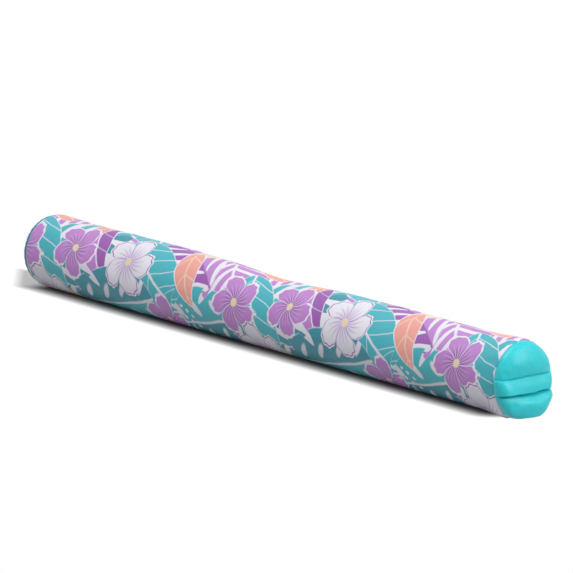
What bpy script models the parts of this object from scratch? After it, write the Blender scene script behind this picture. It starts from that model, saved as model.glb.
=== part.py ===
"""A jumbo pool noodle: a printed fabric sleeve, plain puffed end caps, and a zip under a flap for filling it.

The noodle lies along X on its flattened underside, with the zipped cap at +X. The origin is under its middle,
on the surface that it lies on. A cap is made in the frame of its own end: X out of the end, Z up, origin at the
middle of the seam. The pieces of the zip are made in the frame of the zip line.
"""

import math

import bmesh
import bpy
from mathutils import Matrix

MM = 0.001

# Sleeve and stuffed body
SLEEVE_LENGTH = 1370 * MM  # between the two round seams
TUBE_RADIUS = 70 * MM
REST_SINK = 2 * MM  # how far the soft tube settles, which makes its flat underside
FABRIC = 1.1 * MM
LAYER_GAP = 0.3 * MM
SEAM_GAP = 0.3 * MM
SEAM_ALLOWANCE = 7 * MM
SEAM_DRAW = 2.5 * MM  # how far the round seam draws the tube in
SHOULDER = 14 * MM
SHOULDER_SHARES = ((1, 0), (0.55, 0.15), (0.2, 0.6))  # of SHOULDER back from the seam, of SEAM_DRAW in
SWELL = 1 * MM
SWELL_PLACE_SHARE = -0.24
SWELL_REACH_SHARE = 0.08
WAIST = 3.5 * MM  # the slight neck left where the noodle is folded for packing
WAIST_PLACE_SHARE = 0.006
WAIST_REACH_SHARE = 0.09
END_FLARE = 1 * MM
FLARE_REACH_SHARE = 0.09
STATION_SHARES = (-0.4, -0.32, -0.24, -0.17, -0.12, -0.075, -0.035, 0.006, 0.047, 0.087, 0.14, 0.26)
AROUND = 28
STRIP_STEPS = 2
STRIP_ANGLE = math.radians(8)  # half the angle of the lowest facets where the tube is off the surface

# Liner bag and fill
LINER = 0.6 * MM
SETTLE = 1 * MM  # how far the bag lies back from the caps and seams, and the beads from the bag's ends

# End caps
CAP_CROWN = 20 * MM
CAP_POWER = 4  # of the superellipse that rounds a stuffed cap's rim
LOBE_SAG = 9 * MM  # how much further out the zipped cap's lower lobe has settled
LOBE_POWER = 7
LOBE_SPREAD_SHARE = 0.07  # of its place, how far that lobe has spread where it stands out most
CAP_RING_SHARES = (0.988, 0.955, 0.89, 0.78, 0.6, 0.4, 0.2)
PANEL_ROW_SHARES = (0.012, 0.045, 0.11, 0.22, 0.36, 0.5, 0.64, 0.8, 0.9, 1)
PANEL_STEPS = 14
PANEL_FOOT_SHARE = 0.8  # of the zip line's chord that the panel's last row spans
VALLEY = 15 * MM  # height of the cap along the zip, which holds it back from the crown
VALLEY_FLOOR = 16 * MM  # half widths of the valley, at its floor and at its edges
VALLEY_EDGE = 30 * MM
LINER_VALLEY_FLOOR = 24 * MM
LINER_VALLEY_EDGE = 46 * MM
FLANK_RUN = 14 * MM

# Zip line, tapes and coils
ZIP_RISE = -6 * MM  # of the zip line over the cap's middle
ZIP_SLOT = 11 * MM  # between the two panels' edges
TAPE = 0.6 * MM
TAPE_WIDTH = 14 * MM
TAPE_EDGE = 0.8 * MM  # of each tape from the zip line
TAPE_INSET = 6.5 * MM  # of a tape's end from the seam's radius
TAPE_BEND = 12 * MM
TAPE_BEND_STEPS = 4
COIL_PITCH = 2.5 * MM
COIL_WIRE = 0.84 * MM
COIL_WIDTH = 3.4 * MM  # of the loops, at the middle of the wire
COIL_HEIGHT = 1.05 * MM
COIL_CROSS = 0.55 * MM  # how far each coil's heads pass the zip line
COIL_SEAT = 0.2 * MM
COIL_POINTS = 6
RUN_GAP = 0.3 * MM

# Stops
STOP_SPINE = 0.35 * MM
STOP_JAW = 0.9 * MM
STOP_GRIP = 2.6 * MM  # how far a stop's jaws reach over the tape
TOP_STOP_LENGTH = 2.4 * MM
BOTTOM_STOP_LENGTH = 3 * MM

# Slider, which has a bridge for a paper clip and no pull tab
SLIDER_LENGTH = 13 * MM
SLIDER_FLARE = 0.5 * MM  # widening of each side at the shoulders
SLIDER_WING = 0.9 * MM
SLIDER_RAIL = 0.9 * MM
SLIDER_STATION_SHARES = ((0, 0.7), (0.1, 0.95), (0.28, 1), (0.55, 0), (1, 0))  # of length, of the flare
SLIDER_NOSE_SHARE = 0.78  # of the full half width, at the very front
DIVIDER_SHARES = (0.06, 0.3)  # of SLIDER_LENGTH from the front
DIVIDER_WIDTH = 0.9 * MM
BRIDGE_HEIGHT = 2.1 * MM
BRIDGE_WALL = 0.7 * MM
BRIDGE_WIDTH = 2.4 * MM
BRIDGE_SHARES = (0.18, 0.86)  # of SLIDER_LENGTH from the front
BRIDGE_BEVEL = 1 * MM
SPRING_STRIP = 0.35 * MM
SPRING_WIDTH = 0.9 * MM
PAWL_SHARE = 0.5  # of SLIDER_LENGTH from the front
PAWL_LENGTH = 0.6 * MM

# Flap over the zip
FLAP = 1.6 * MM  # two layers of the cap's fabric
FLAP_TOP = 13 * MM  # of its seam over the zip line
FLAP_DROP = 28 * MM
FLAP_LEAN = 5.3 * MM  # how far its free edge stands out past its seam
FLAP_BULGE = 2 * MM
FLAP_LIFT = 2.2 * MM  # where it lies over the parked slider
FLAP_LIFT_REACH = 14 * MM
FLAP_INSET = 1.2 * MM  # of its ends from the seam's radius
FLAP_RUN = 11 * MM  # over which its ends curve back
FLAP_STEPS = 18
FLAP_ROWS = 6

HALF_LENGTH = SLEEVE_LENGTH / 2
TURQUOISE = (0.09, 0.66, 0.74)
PRINT_WHITE = (0.82, 0.82, 0.86)


def material(name, colour, roughness, metallic=0.0):
    """A Principled material in one colour."""
    made = bpy.data.materials.new(name)
    made.use_nodes = True
    shader = made.node_tree.nodes["Principled BSDF"]
    shader.inputs["Base Color"].default_value = (*colour, 1)
    shader.inputs["Roughness"].default_value = roughness
    shader.inputs["Metallic"].default_value = metallic
    return made


def empty(name, location, parent=None, turn=0.0):
    """A frame that pieces are placed in."""
    made = bpy.data.objects.new(name, None)
    bpy.context.collection.objects.link(made)
    made.location = location
    made.rotation_euler.z = turn
    made.parent = parent
    return made


def add(name, mesh, parent, finish):
    """One piece, from its mesh or curve, in its parent's frame."""
    made = bpy.data.objects.new(name, mesh)
    bpy.context.collection.objects.link(made)
    made.parent = parent
    mesh.materials.append(finish)
    return made


def hung_on(piece, frame):
    """Moves a piece's origin to a child frame of its parent, and leaves its shape in place."""
    piece.data.transform(Matrix.Translation(-frame.location))
    piece.parent = frame
    return piece


def loft(name, rows, parent, finish, closed=True):
    """Skins rows of points, each a ring when closed, and each a pole when it has one point."""
    mesh = bmesh.new()
    corners = [[mesh.verts.new(point) for point in row] for row in rows]
    for low, high in zip(corners, corners[1:]):
        steps = max(len(low), len(high))
        for i in range(steps if closed else steps - 1):
            after = (i + 1) % steps
            face = [low[i], low[after]] if len(low) > 1 else [low[0]]
            face += [high[after], high[i]] if len(high) > 1 else [high[0]]
            mesh.faces.new(face)
    shape = bpy.data.meshes.new(name)
    mesh.to_mesh(shape)
    mesh.free()
    shape.shade_smooth()
    shape.set_sharp_from_angle(angle=math.radians(40))
    return add(name, shape, parent, finish)


def thicken(piece, thickness, outwards=False):
    """Gives a skin its cloth's thickness, inwards unless told otherwise."""
    shell = piece.modifiers.new("cloth", "SOLIDIFY")
    shell.thickness = thickness
    shell.offset = 1 if outwards else -1
    shell.use_even_offset = True
    return piece


def prism(name, outline, along, span, parent, finish):
    """Extrudes an outline, given as pairs of the two other coordinates, between two places along an axis."""
    mesh = bmesh.new()
    rows = []
    for place in span:
        row = [list(pair) for pair in outline]
        for point in row:
            point.insert(along, place)
        rows.append([mesh.verts.new(point) for point in row])
    count = len(outline)
    for i in range(count):
        after = (i + 1) % count
        mesh.faces.new((rows[0][i], rows[0][after], rows[1][after], rows[1][i]))
    mesh.faces.new(rows[0])
    mesh.faces.new(rows[1])
    bmesh.ops.recalc_face_normals(mesh, faces=mesh.faces)
    shape = bpy.data.meshes.new(name)
    mesh.to_mesh(shape)
    mesh.free()
    return add(name, shape, parent, finish)


def boolean(piece, other, operation):
    """Joins another shape to a piece, or cuts it away, and leaves the other as a guide."""
    change = piece.modifiers.new(other.name, "BOOLEAN")
    change.operation = operation
    change.object = other
    other.hide_render = True
    other.display_type = "WIRE"


def bell(place, middle, reach):
    return math.exp(-(((place - middle) / reach) ** 2))


def body_radius(x):
    """The stuffed tube's radius at a place along it."""
    share = x / SLEEVE_LENGTH
    swell = SWELL * bell(share, SWELL_PLACE_SHARE, SWELL_REACH_SHARE)
    waist = WAIST * bell(share, WAIST_PLACE_SHARE, WAIST_REACH_SHARE)
    flare = END_FLARE * bell(abs(x) / HALF_LENGTH, 1, FLARE_REACH_SHARE)
    return TUBE_RADIUS + swell + flare - waist


SEAM_RADIUS = body_radius(HALF_LENGTH) - SEAM_DRAW
AXIS_HEIGHT = body_radius(HALF_LENGTH) - REST_SINK
ALLOWANCE_RADIUS = SEAM_RADIUS - SEAM_ALLOWANCE
NECK_RADIUS = ALLOWANCE_RADIUS - LAYER_GAP
SKIN_DEPTH = FABRIC + LAYER_GAP
LINER_CROWN = CAP_CROWN - SKIN_DEPTH - SETTLE
BAG_FOOT = SEAM_GAP / 2 + SKIN_DEPTH + SETTLE
BAG_CORNER = SEAM_RADIUS - SKIN_DEPTH - SETTLE
FILL_DEPTH = LINER + LAYER_GAP
TAPE_TOP = VALLEY - SKIN_DEPTH
TAPE_REACH = SEAM_RADIUS - TAPE_INSET
TAPE_FLAT = TAPE_REACH - TAPE_BEND
COIL_TOP = TAPE_TOP + COIL_SEAT + COIL_HEIGHT + COIL_WIRE
WING_TOP = COIL_TOP + RUN_GAP + SLIDER_WING
WING_FOOT = TAPE_TOP - TAPE - RUN_GAP - SLIDER_WING
CHANNEL = COIL_WIDTH - COIL_CROSS + COIL_WIRE / 2 + RUN_GAP
SLIDER_FRONT = -TAPE_FLAT + TOP_STOP_LENGTH + RUN_GAP
COIL_START = SLIDER_FRONT + DIVIDER_SHARES[1] * SLIDER_LENGTH + RUN_GAP + COIL_WIRE / 2
COIL_ROOM = TAPE_FLAT - BOTTOM_STOP_LENGTH - RUN_GAP - COIL_WIRE / 2 - COIL_START
COIL_TURNS = math.floor(COIL_ROOM / COIL_PITCH - 1 / 2)  # of each coil, one half a turn behind the other
COIL_END = COIL_START + (COIL_TURNS + 1 / 2) * COIL_PITCH
BOTTOM_STOP_START = COIL_END + COIL_WIRE / 2 + RUN_GAP


def angles_around(centre, radius, depth):
    """Angles from straight down: along the arc off the surface, and then the middle of the flat strip."""
    strip = max(math.acos(min(1, (centre - depth) / radius)), STRIP_ANGLE)
    steps = AROUND - STRIP_STEPS
    turn = 2 * math.pi - 2 * strip
    return [strip + turn * i / steps for i in range(steps + 1)] + [2 * math.pi]


def tube_ring(x, drop, depth):
    """A section of the tube, so far under the body's radius and so deep under its skin."""
    centre = body_radius(x) - REST_SINK
    radius = body_radius(x) - drop - depth
    ring = angles_around(centre, radius, depth)
    return [(x, radius * math.sin(a), max(depth, centre - radius * math.cos(a))) for a in ring]


def tube_rows(depth, shoulder_shares):
    """The tube's sections from one shoulder to the other, so deep under its skin."""
    shoulder = [(HALF_LENGTH - back * SHOULDER, draw * SEAM_DRAW) for back, draw in shoulder_shares]
    rows = [tube_ring(-x, drop, depth) for x, drop in reversed(shoulder)]
    rows += [tube_ring(share * SLEEVE_LENGTH, 0, depth) for share in STATION_SHARES]
    return rows + [tube_ring(x, drop, depth) for x, drop in shoulder]


def circle(x, radius):
    """A ring round an end's axis, with its points in line with the tube's."""
    ring = angles_around(AXIS_HEIGHT, SEAM_RADIUS, 0)
    return [(x, radius * math.sin(a), -radius * math.cos(a)) for a in ring]


def flank(share):
    """Height, as a share, of a rounded edge at a share of its run."""
    return math.sqrt(1 - (1 - min(max(share, 0), 1)) ** 2)


def smooth(share):
    share = min(max(share, 0), 1)
    return share * share * (3 - 2 * share)


def dome(y, z, radius, crown, power=CAP_POWER):
    """Height of a plain stuffed cap over its seam."""
    reach = min(1, math.hypot(y, z) / radius)
    return crown * (1 - reach**power) ** (1 / power)


def settled(z):
    """How much of the lower lobe's fullness a place has, by its height."""
    return smooth((ZIP_RISE - z) / VALLEY_EDGE)


def zip_dome(y, z, radius, crown, valley, floor, edge):
    """Height of the zipped cap: two stuffed lobes, with a valley along the zip between them."""
    chord = math.sqrt(max(0, radius**2 - z**2))
    trough = valley * flank((chord - abs(y)) / FLANK_RUN)
    fade = smooth((edge - abs(z - ZIP_RISE)) / (edge - floor))
    full = settled(z)
    whole = dome(y, z, radius, crown + LOBE_SAG * full, CAP_POWER + (LOBE_POWER - CAP_POWER) * full)
    return whole + (trough - whole) * fade


def dome_rows(radius, height):
    """Rings and a pole over an end, whose height is a function of y and z."""
    rows = []
    for share in CAP_RING_SHARES:
        rows.append([(height(y, z), y, z) for _, y, z in circle(0, share * radius)])
    return [*rows, [(height(0, 0), 0, 0)]]


def turned_in(rows, end, corner, edge):
    """A tube's rows between the ends that it turns inwards, from one radius to another."""
    near = [[(end, y, z + AXIS_HEIGHT) for _, y, z in circle(0, radius)] for radius in (corner, edge)]
    far = [[(-x, y, z) for x, y, z in row] for row in reversed(near)]
    return [*far, *rows, *near]


def make_sleeve(noodle, finish):
    """The printed tube, whose ends are drawn in and turned inside at the round seams."""
    rows = tube_rows(0, SHOULDER_SHARES)
    rows = turned_in(rows, HALF_LENGTH - SEAM_GAP / 2, SEAM_RADIUS, ALLOWANCE_RADIUS)
    thicken(loft("sleeve", rows, noodle, finish), FABRIC)


def make_liner_tube(noodle, finish):
    """The inner bag's tube, which holds the beads and ends behind the round seams."""
    rows = tube_rows(SKIN_DEPTH, SHOULDER_SHARES[:-1])
    rows = turned_in(rows, HALF_LENGTH - BAG_FOOT, BAG_CORNER, ALLOWANCE_RADIUS)
    thicken(loft("liner_tube", rows, noodle, finish), LINER)


def liner_height(y, z):
    """Height of the liner's near end, which clears the slider's lower wing."""
    valley = WING_FOOT - LAYER_GAP
    return zip_dome(y, z, NECK_RADIUS, LINER_CROWN, valley, LINER_VALLEY_FLOOR, LINER_VALLEY_EDGE)


def plain_liner_height(y, z):
    return dome(y, z, NECK_RADIUS, LINER_CROWN)


def make_liner_disc(name, end, height, finish):
    """An end of the inner bag, through the round seam's allowances and up under the cap."""
    rows = [circle(-BAG_FOOT, NECK_RADIUS), circle(0, NECK_RADIUS), *dome_rows(NECK_RADIUS, height)]
    thicken(loft(name, rows, end, finish), LINER)


def fill_end(height, side):
    """Rows of the fill's end from its tube to its pole, in the noodle's frame."""
    foot = -BAG_FOOT - FILL_DEPTH - SETTLE
    radius = NECK_RADIUS - FILL_DEPTH
    shrink = radius / NECK_RADIUS
    rows = [circle(foot, BAG_CORNER - FILL_DEPTH), circle(foot, radius), circle(0, radius)]
    for row in dome_rows(NECK_RADIUS, height):
        rows.append([(max(0, x - FILL_DEPTH - SETTLE), y * shrink, z * shrink) for x, y, z in row])
    return [[(side * (HALF_LENGTH + x), y, z + AXIS_HEIGHT) for x, y, z in row] for row in rows]


def make_fill(noodle, finish):
    """The expanded beads, as the one body that they pack into."""
    rows = fill_end(plain_liner_height, -1)[::-1]
    rows += tube_rows(SKIN_DEPTH + FILL_DEPTH, SHOULDER_SHARES[:-1])
    rows += fill_end(liner_height, 1)
    loft("bead_fill", rows, noodle, finish)


def make_far_cap(end, finish):
    """The plain end cap, with its allowance turned inside against the sleeve's."""
    foot = SEAM_GAP / 2
    rows = [circle(foot, ALLOWANCE_RADIUS), circle(foot, SEAM_RADIUS)]
    rows += dome_rows(SEAM_RADIUS, lambda y, z: foot + dome(y, z, SEAM_RADIUS, CAP_CROWN))
    thicken(loft("far_cap_panel", rows, end, finish), FABRIC)


def make_cap_panel(name, end, side, finish):
    """Half of the zipped cap, above the zip on side 1 or below it on side -1."""
    foot = SEAM_GAP / 2
    edge = ZIP_RISE + side * ZIP_SLOT / 2
    chord = math.sqrt(SEAM_RADIUS**2 - edge**2)
    middle = math.pi if side > 0 else 0
    half = math.acos(side * edge / SEAM_RADIUS)
    turns = [half * (2 * i / PANEL_STEPS - 1) for i in range(PANEL_STEPS + 1)]
    rim = [(math.sin(middle + a), -math.cos(middle + a)) for a in turns]
    rows = [[(foot, radius * y, radius * z) for y, z in rim] for radius in (ALLOWANCE_RADIUS, SEAM_RADIUS)]
    for share in PANEL_ROW_SHARES:
        row = []
        for turn, (y, z) in zip(turns, rim):
            inner = -side * turn / half * PANEL_FOOT_SHARE * chord
            across = SEAM_RADIUS * y + (inner - SEAM_RADIUS * y) * share
            up = SEAM_RADIUS * z + (edge - SEAM_RADIUS * z) * share
            height = zip_dome(across, up, SEAM_RADIUS, CAP_CROWN, VALLEY, VALLEY_FLOOR, VALLEY_EDGE)
            spread = 1 + LOBE_SPREAD_SHARE * settled(up) * height / (CAP_CROWN + LOBE_SAG)
            row.append((foot + height, across * spread, max(up * spread, -SEAM_RADIUS)))
        rows.append(row)
    thicken(loft(name, rows, end, finish, closed=False), FABRIC)


def tape_path():
    """Outer face of the tapes along the zip, flat where the slider runs and bent down into the round seam."""
    foot = SEAM_GAP / 2 + SKIN_DEPTH
    turns = [math.pi / 2 * i / TAPE_BEND_STEPS for i in range(TAPE_BEND_STEPS + 1)]
    bend = [(TAPE_FLAT + TAPE_BEND * math.cos(a), foot + (TAPE_TOP - foot) * math.sin(a)) for a in turns]
    return [(-y, height) for y, height in bend] + bend[::-1]


def make_tape(name, zip_line, side, finish):
    """A zip tape, with its inner edge beside the zip line."""
    path = tape_path()
    near = [(height, y, side * TAPE_EDGE) for y, height in path]
    far = [(height, y, side * (TAPE_EDGE + TAPE_WIDTH)) for y, height in path]
    rows = [near, far] if side > 0 else [far, near]
    thicken(loft(name, rows, zip_line, finish, closed=False), TAPE)


def make_coil(name, zip_line, side, finish):
    """One coil of the closed zip, wound so that its heads lie between the other coil's."""
    start = COIL_START + (COIL_PITCH / 2 if side < 0 else 0)
    curve = bpy.data.curves.new(name, "CURVE")
    curve.dimensions = "3D"
    curve.bevel_depth = COIL_WIRE / 2
    curve.bevel_resolution = 0
    curve.use_fill_caps = True
    spline = curve.splines.new("POLY")
    count = COIL_TURNS * COIL_POINTS + 1
    spline.points.add(count - 1)
    middle = TAPE_TOP + COIL_SEAT + COIL_WIRE / 2 + COIL_HEIGHT / 2
    for i, point in enumerate(spline.points):
        angle = 2 * math.pi * (i + 0.5) / COIL_POINTS
        across = side * (COIL_WIDTH / 2 - COIL_CROSS - COIL_WIDTH / 2 * math.cos(angle))
        height = middle - COIL_HEIGHT / 2 * math.sin(angle)
        point.co = (height, start + COIL_PITCH * i / COIL_POINTS, across, 1)
    add(name, curve, zip_line, finish)


def make_top_stop(name, zip_line, side, finish):
    """A clip crimped round one tape's edge, at the end where the zip closes."""
    spine = side * (TAPE_EDGE - RUN_GAP - STOP_SPINE)
    tip = side * (TAPE_EDGE + STOP_GRIP)
    heel = side * (TAPE_EDGE - RUN_GAP)
    under = TAPE_TOP - TAPE - RUN_GAP
    over = TAPE_TOP + RUN_GAP
    outline = [
        (under - STOP_JAW, spine), (under - STOP_JAW, tip), (under, tip), (under, heel),
        (over, heel), (over, tip), (over + STOP_JAW, tip), (over + STOP_JAW, spine),
    ]
    span = (-TAPE_FLAT, -TAPE_FLAT + TOP_STOP_LENGTH)
    prism(name, outline, 1, span, zip_line, finish)


def make_bottom_stop(zip_line, finish):
    """The staple that holds both tapes together where the zip ends."""
    web = TAPE_EDGE - RUN_GAP
    tip = TAPE_EDGE + STOP_GRIP
    under = TAPE_TOP - TAPE - RUN_GAP
    over = TAPE_TOP + RUN_GAP
    half = [
        (under - STOP_JAW, tip), (under, tip), (under, web),
        (over, web), (over, tip), (over + STOP_JAW, tip),
    ]
    outline = half + [(height, -across) for height, across in reversed(half)]
    span = (BOTTOM_STOP_START, BOTTOM_STOP_START + BOTTOM_STOP_LENGTH)
    prism("zip_bottom_stop", outline, 1, span, zip_line, finish)


def wing_rows(inner, outer, rail_foot):
    """Sections of one wing of the slider and its two rails, from its nose to its tail."""
    rows = []
    for along, flare in SLIDER_STATION_SHARES:
        half = CHANNEL + SLIDER_RAIL + flare * SLIDER_FLARE
        if along == 0:
            half *= SLIDER_NOSE_SHARE
        y = SLIDER_FRONT + along * SLIDER_LENGTH
        side = [(outer, half), (rail_foot, half), (rail_foot, half - SLIDER_RAIL), (inner, half - SLIDER_RAIL)]
        points = side + [(height, -across) for height, across in reversed(side)]
        rows.append([(height, y, across) for height, across in points])
    return rows


def cap_ends(piece):
    """Closes the two open ends of a lofted solid, and turns its faces outwards."""
    mesh = bmesh.new()
    mesh.from_mesh(piece.data)
    bmesh.ops.holes_fill(mesh, edges=[edge for edge in mesh.edges if edge.is_boundary])
    bmesh.ops.recalc_face_normals(mesh, faces=mesh.faces)
    mesh.to_mesh(piece.data)
    mesh.free()
    return piece


def make_slider(zip_line, run, metal, steel):
    """The slider: its two wings joined by a divider, a bridge for a paper clip, and a sprung pawl."""
    wing_foot = TAPE_TOP - TAPE - RUN_GAP
    body = loft("slider_body", wing_rows(WING_TOP - SLIDER_WING, WING_TOP, TAPE_TOP + RUN_GAP), zip_line, metal)
    lower = loft("lower_wing", wing_rows(wing_foot - SLIDER_WING / 2, WING_FOOT, wing_foot), zip_line, metal)
    web = (-DIVIDER_WIDTH / 2, DIVIDER_WIDTH / 2)
    low, high = WING_FOOT + SLIDER_WING / 4, WING_TOP - SLIDER_WING / 2
    outline = [(low, web[0]), (low, web[1]), (high, web[1]), (high, web[0])]
    span = [SLIDER_FRONT + share * SLIDER_LENGTH for share in DIVIDER_SHARES]
    divider = prism("divider", outline, 1, span, zip_line, metal)
    pawl = SLIDER_FRONT + PAWL_SHARE * SLIDER_LENGTH
    reach = SPRING_WIDTH / 2 + RUN_GAP
    around = (pawl - RUN_GAP, pawl + PAWL_LENGTH + RUN_GAP)
    low, high = WING_TOP - 2 * SLIDER_WING, WING_TOP + SLIDER_WING
    outline = [(low, -reach), (low, reach), (high, reach), (high, -reach)]
    window = prism("pawl_window", outline, 1, around, zip_line, metal)
    for piece in (body, lower):
        cap_ends(piece)
    boolean(body, lower, "UNION")
    boolean(body, divider, "UNION")
    boolean(body, window, "DIFFERENCE")

    start, end = (SLIDER_FRONT + share * SLIDER_LENGTH for share in BRIDGE_SHARES)
    foot = WING_TOP + COIL_SEAT
    top = foot + BRIDGE_HEIGHT
    outer = [(foot, start), (top - BRIDGE_BEVEL, start), (top, start + BRIDGE_BEVEL)]
    outer += [(top, end - BRIDGE_BEVEL), (top - BRIDGE_BEVEL, end), (foot, end)]
    under = top - BRIDGE_WALL
    inner = [(foot, end - BRIDGE_WALL), (under, end - BRIDGE_WALL)]
    inner += [(under, start + BRIDGE_WALL), (foot, start + BRIDGE_WALL)]
    span = (-BRIDGE_WIDTH / 2, BRIDGE_WIDTH / 2)
    bridge = prism("slider_bridge", outer + inner, 2, span, zip_line, metal)

    leaf = foot + SPRING_STRIP
    tip = COIL_TOP + RUN_GAP
    heel = end - BRIDGE_WALL - RUN_GAP
    point = pawl + PAWL_LENGTH
    outline = [(foot, heel), (leaf, heel), (leaf, pawl), (tip, pawl), (tip, point), (foot, point)]
    span = (-SPRING_WIDTH / 2, SPRING_WIDTH / 2)
    spring = prism("slider_lock_spring", outline, 2, span, zip_line, steel)
    for piece in (body, lower, divider, window, bridge, spring):
        hung_on(piece, run)


def flap_face(across, down):
    """Height of the flap's inner face over the cap's seam, by place along the zip and share of its drop."""
    reach = FLAP_LEAN * down + FLAP_BULGE * math.sin(math.pi * down)
    parked = SLIDER_FRONT + SLIDER_LENGTH / 2
    reach += FLAP_LIFT * down * bell(across, parked, FLAP_LIFT_REACH)
    seat = SEAM_GAP / 2 + VALLEY + LAYER_GAP
    return (seat + reach) * flank((SEAM_RADIUS - abs(across)) / FLAP_RUN)


def make_flap(zip_line, hinge, finish):
    """The flap that hides the zip, sewn along its upper edge and open at its lower edge."""
    half = SEAM_RADIUS - FLAP_INSET
    rows = []
    for i in range(FLAP_ROWS + 1):
        down = i / FLAP_ROWS
        row = []
        for j in range(FLAP_STEPS + 1):
            across = half * math.cos(math.pi * j / FLAP_STEPS)
            row.append((flap_face(across, down), across, FLAP_TOP - FLAP_DROP * down))
        rows.append(row)
    flap = loft("zip_flap", rows, zip_line, finish, closed=False)
    hung_on(thicken(flap, FLAP, outwards=True), hinge)


def main():
    for old in list(bpy.data.objects):
        bpy.data.objects.remove(old, do_unlink=True)
    printed = material("printed_knit", PRINT_WHITE, 0.6)
    plain = material("turquoise_knit", TURQUOISE, 0.6)
    tape_cloth = material("zip_tape", TURQUOISE, 0.75)
    nylon = material("nylon_coil", (0.12, 0.6, 0.66), 0.4)
    metal = material("slider_metal", (0.55, 0.55, 0.56), 0.35, 1)
    steel = material("spring_steel", (0.4, 0.4, 0.42), 0.3, 1)
    lining = material("liner_cloth", (0.75, 0.75, 0.74), 0.85)
    beads = material("foam_beads", (0.9, 0.9, 0.9), 0.7)

    noodle = empty("noodle", (0, 0, 0))
    near_end = empty("near_end", (HALF_LENGTH, 0, AXIS_HEIGHT), noodle)
    far_end = empty("far_end", (-HALF_LENGTH, 0, AXIS_HEIGHT), noodle, turn=math.pi)
    zip_line = empty("zip_line", (0, 0, ZIP_RISE), near_end)
    slider_run = empty("slider_run", (TAPE_TOP, SLIDER_FRONT, 0), zip_line)
    flap_seam = SEAM_GAP / 2 + VALLEY + LAYER_GAP + FLAP / 2
    flap_hinge = empty("flap_hinge", (flap_seam, 0, FLAP_TOP), zip_line)

    make_sleeve(noodle, printed)
    make_liner_tube(noodle, lining)
    make_liner_disc("liner_far_disc", far_end, plain_liner_height, lining)
    make_liner_disc("liner_near_disc", near_end, liner_height, lining)
    make_fill(noodle, beads)
    make_far_cap(far_end, plain)
    make_cap_panel("near_cap_upper_panel", near_end, 1, plain)
    make_cap_panel("near_cap_lower_panel", near_end, -1, plain)
    for place, side in (("upper", 1), ("lower", -1)):
        make_tape(f"zip_tape_{place}", zip_line, side, tape_cloth)
        make_coil(f"zip_coil_{place}", zip_line, side, nylon)
        make_top_stop(f"zip_top_stop_{place}", zip_line, side, metal)
    make_bottom_stop(zip_line, metal)
    make_slider(zip_line, slider_run, metal, steel)
    make_flap(zip_line, flap_hinge, plain)


main()
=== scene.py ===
"""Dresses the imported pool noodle: its sleeve, caps, flap, zip, liner and beads, on a pale floor.

Every length is in metres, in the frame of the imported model. The noodle lies along X with its zipped cap at
+X. A turn is an angle round the noodle from straight down, in radians, and a share runs from 0 to 1.
"""
import logging
from collections.abc import Callable, Iterator
from contextlib import contextmanager
from dataclasses import dataclass
from enum import Enum
from math import acos, atan2, copysign, cos, exp, hypot, pi, radians, sin, sqrt

import bpy
import numpy as np
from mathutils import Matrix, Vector


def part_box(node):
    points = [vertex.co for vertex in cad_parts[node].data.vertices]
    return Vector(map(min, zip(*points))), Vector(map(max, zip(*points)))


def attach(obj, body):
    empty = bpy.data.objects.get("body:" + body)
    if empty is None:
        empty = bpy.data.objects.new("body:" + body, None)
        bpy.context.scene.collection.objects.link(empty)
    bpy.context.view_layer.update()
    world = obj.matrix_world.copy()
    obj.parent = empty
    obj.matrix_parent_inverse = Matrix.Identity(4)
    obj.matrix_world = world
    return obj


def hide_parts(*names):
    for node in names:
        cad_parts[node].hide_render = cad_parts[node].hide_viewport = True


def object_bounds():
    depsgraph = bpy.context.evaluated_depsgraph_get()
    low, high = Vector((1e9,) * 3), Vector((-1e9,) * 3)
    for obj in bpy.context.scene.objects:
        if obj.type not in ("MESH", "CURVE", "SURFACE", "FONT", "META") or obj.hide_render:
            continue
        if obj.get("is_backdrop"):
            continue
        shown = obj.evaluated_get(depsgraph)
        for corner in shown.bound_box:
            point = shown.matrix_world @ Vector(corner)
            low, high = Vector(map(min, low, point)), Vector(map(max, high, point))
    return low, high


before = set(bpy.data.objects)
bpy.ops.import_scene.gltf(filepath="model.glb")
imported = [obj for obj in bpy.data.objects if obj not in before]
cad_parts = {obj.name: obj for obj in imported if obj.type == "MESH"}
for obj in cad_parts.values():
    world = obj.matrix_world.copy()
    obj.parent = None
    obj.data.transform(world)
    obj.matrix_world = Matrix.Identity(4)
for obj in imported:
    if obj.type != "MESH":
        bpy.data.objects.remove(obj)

MM = 0.001
log = logging.getLogger("pool_noodle")

Point = tuple[float, float, float]
Rgb = tuple[float, float, float]
Hump = tuple[float, float, float]
Waves = tuple[tuple[int, float, float], ...]
Spot = Callable[[float, float], Point]
Socket = bpy.types.NodeSocket
Material = bpy.types.Material
Piece = bpy.types.Object


def hump(place: float, shape: Hump) -> float:
    """Height at a place of a smooth hump, given by its height, middle and reach."""
    return shape[0] * exp(-(((place - shape[1]) / shape[2]) ** 2))


def within(share: float) -> float:
    """A share kept between 0 and 1."""
    return min(max(share, 0.0), 1.0)


def smooth(share: float) -> float:
    """An even ease between 0 and 1."""
    share = within(share)
    return share * share * (3 - 2 * share)


def flank(share: float) -> float:
    """Height of a rounded edge, as a share, at a share of its run."""
    return sqrt(max(0.0, 1 - (1 - within(share)) ** 2))


def ripple(turn: float, waves: Waves) -> float:
    """Height at a turn of a sum of waves, given by their count round the seam, height and phase."""
    return sum(height * sin(count * turn + phase) for count, height, phase in waves)


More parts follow.
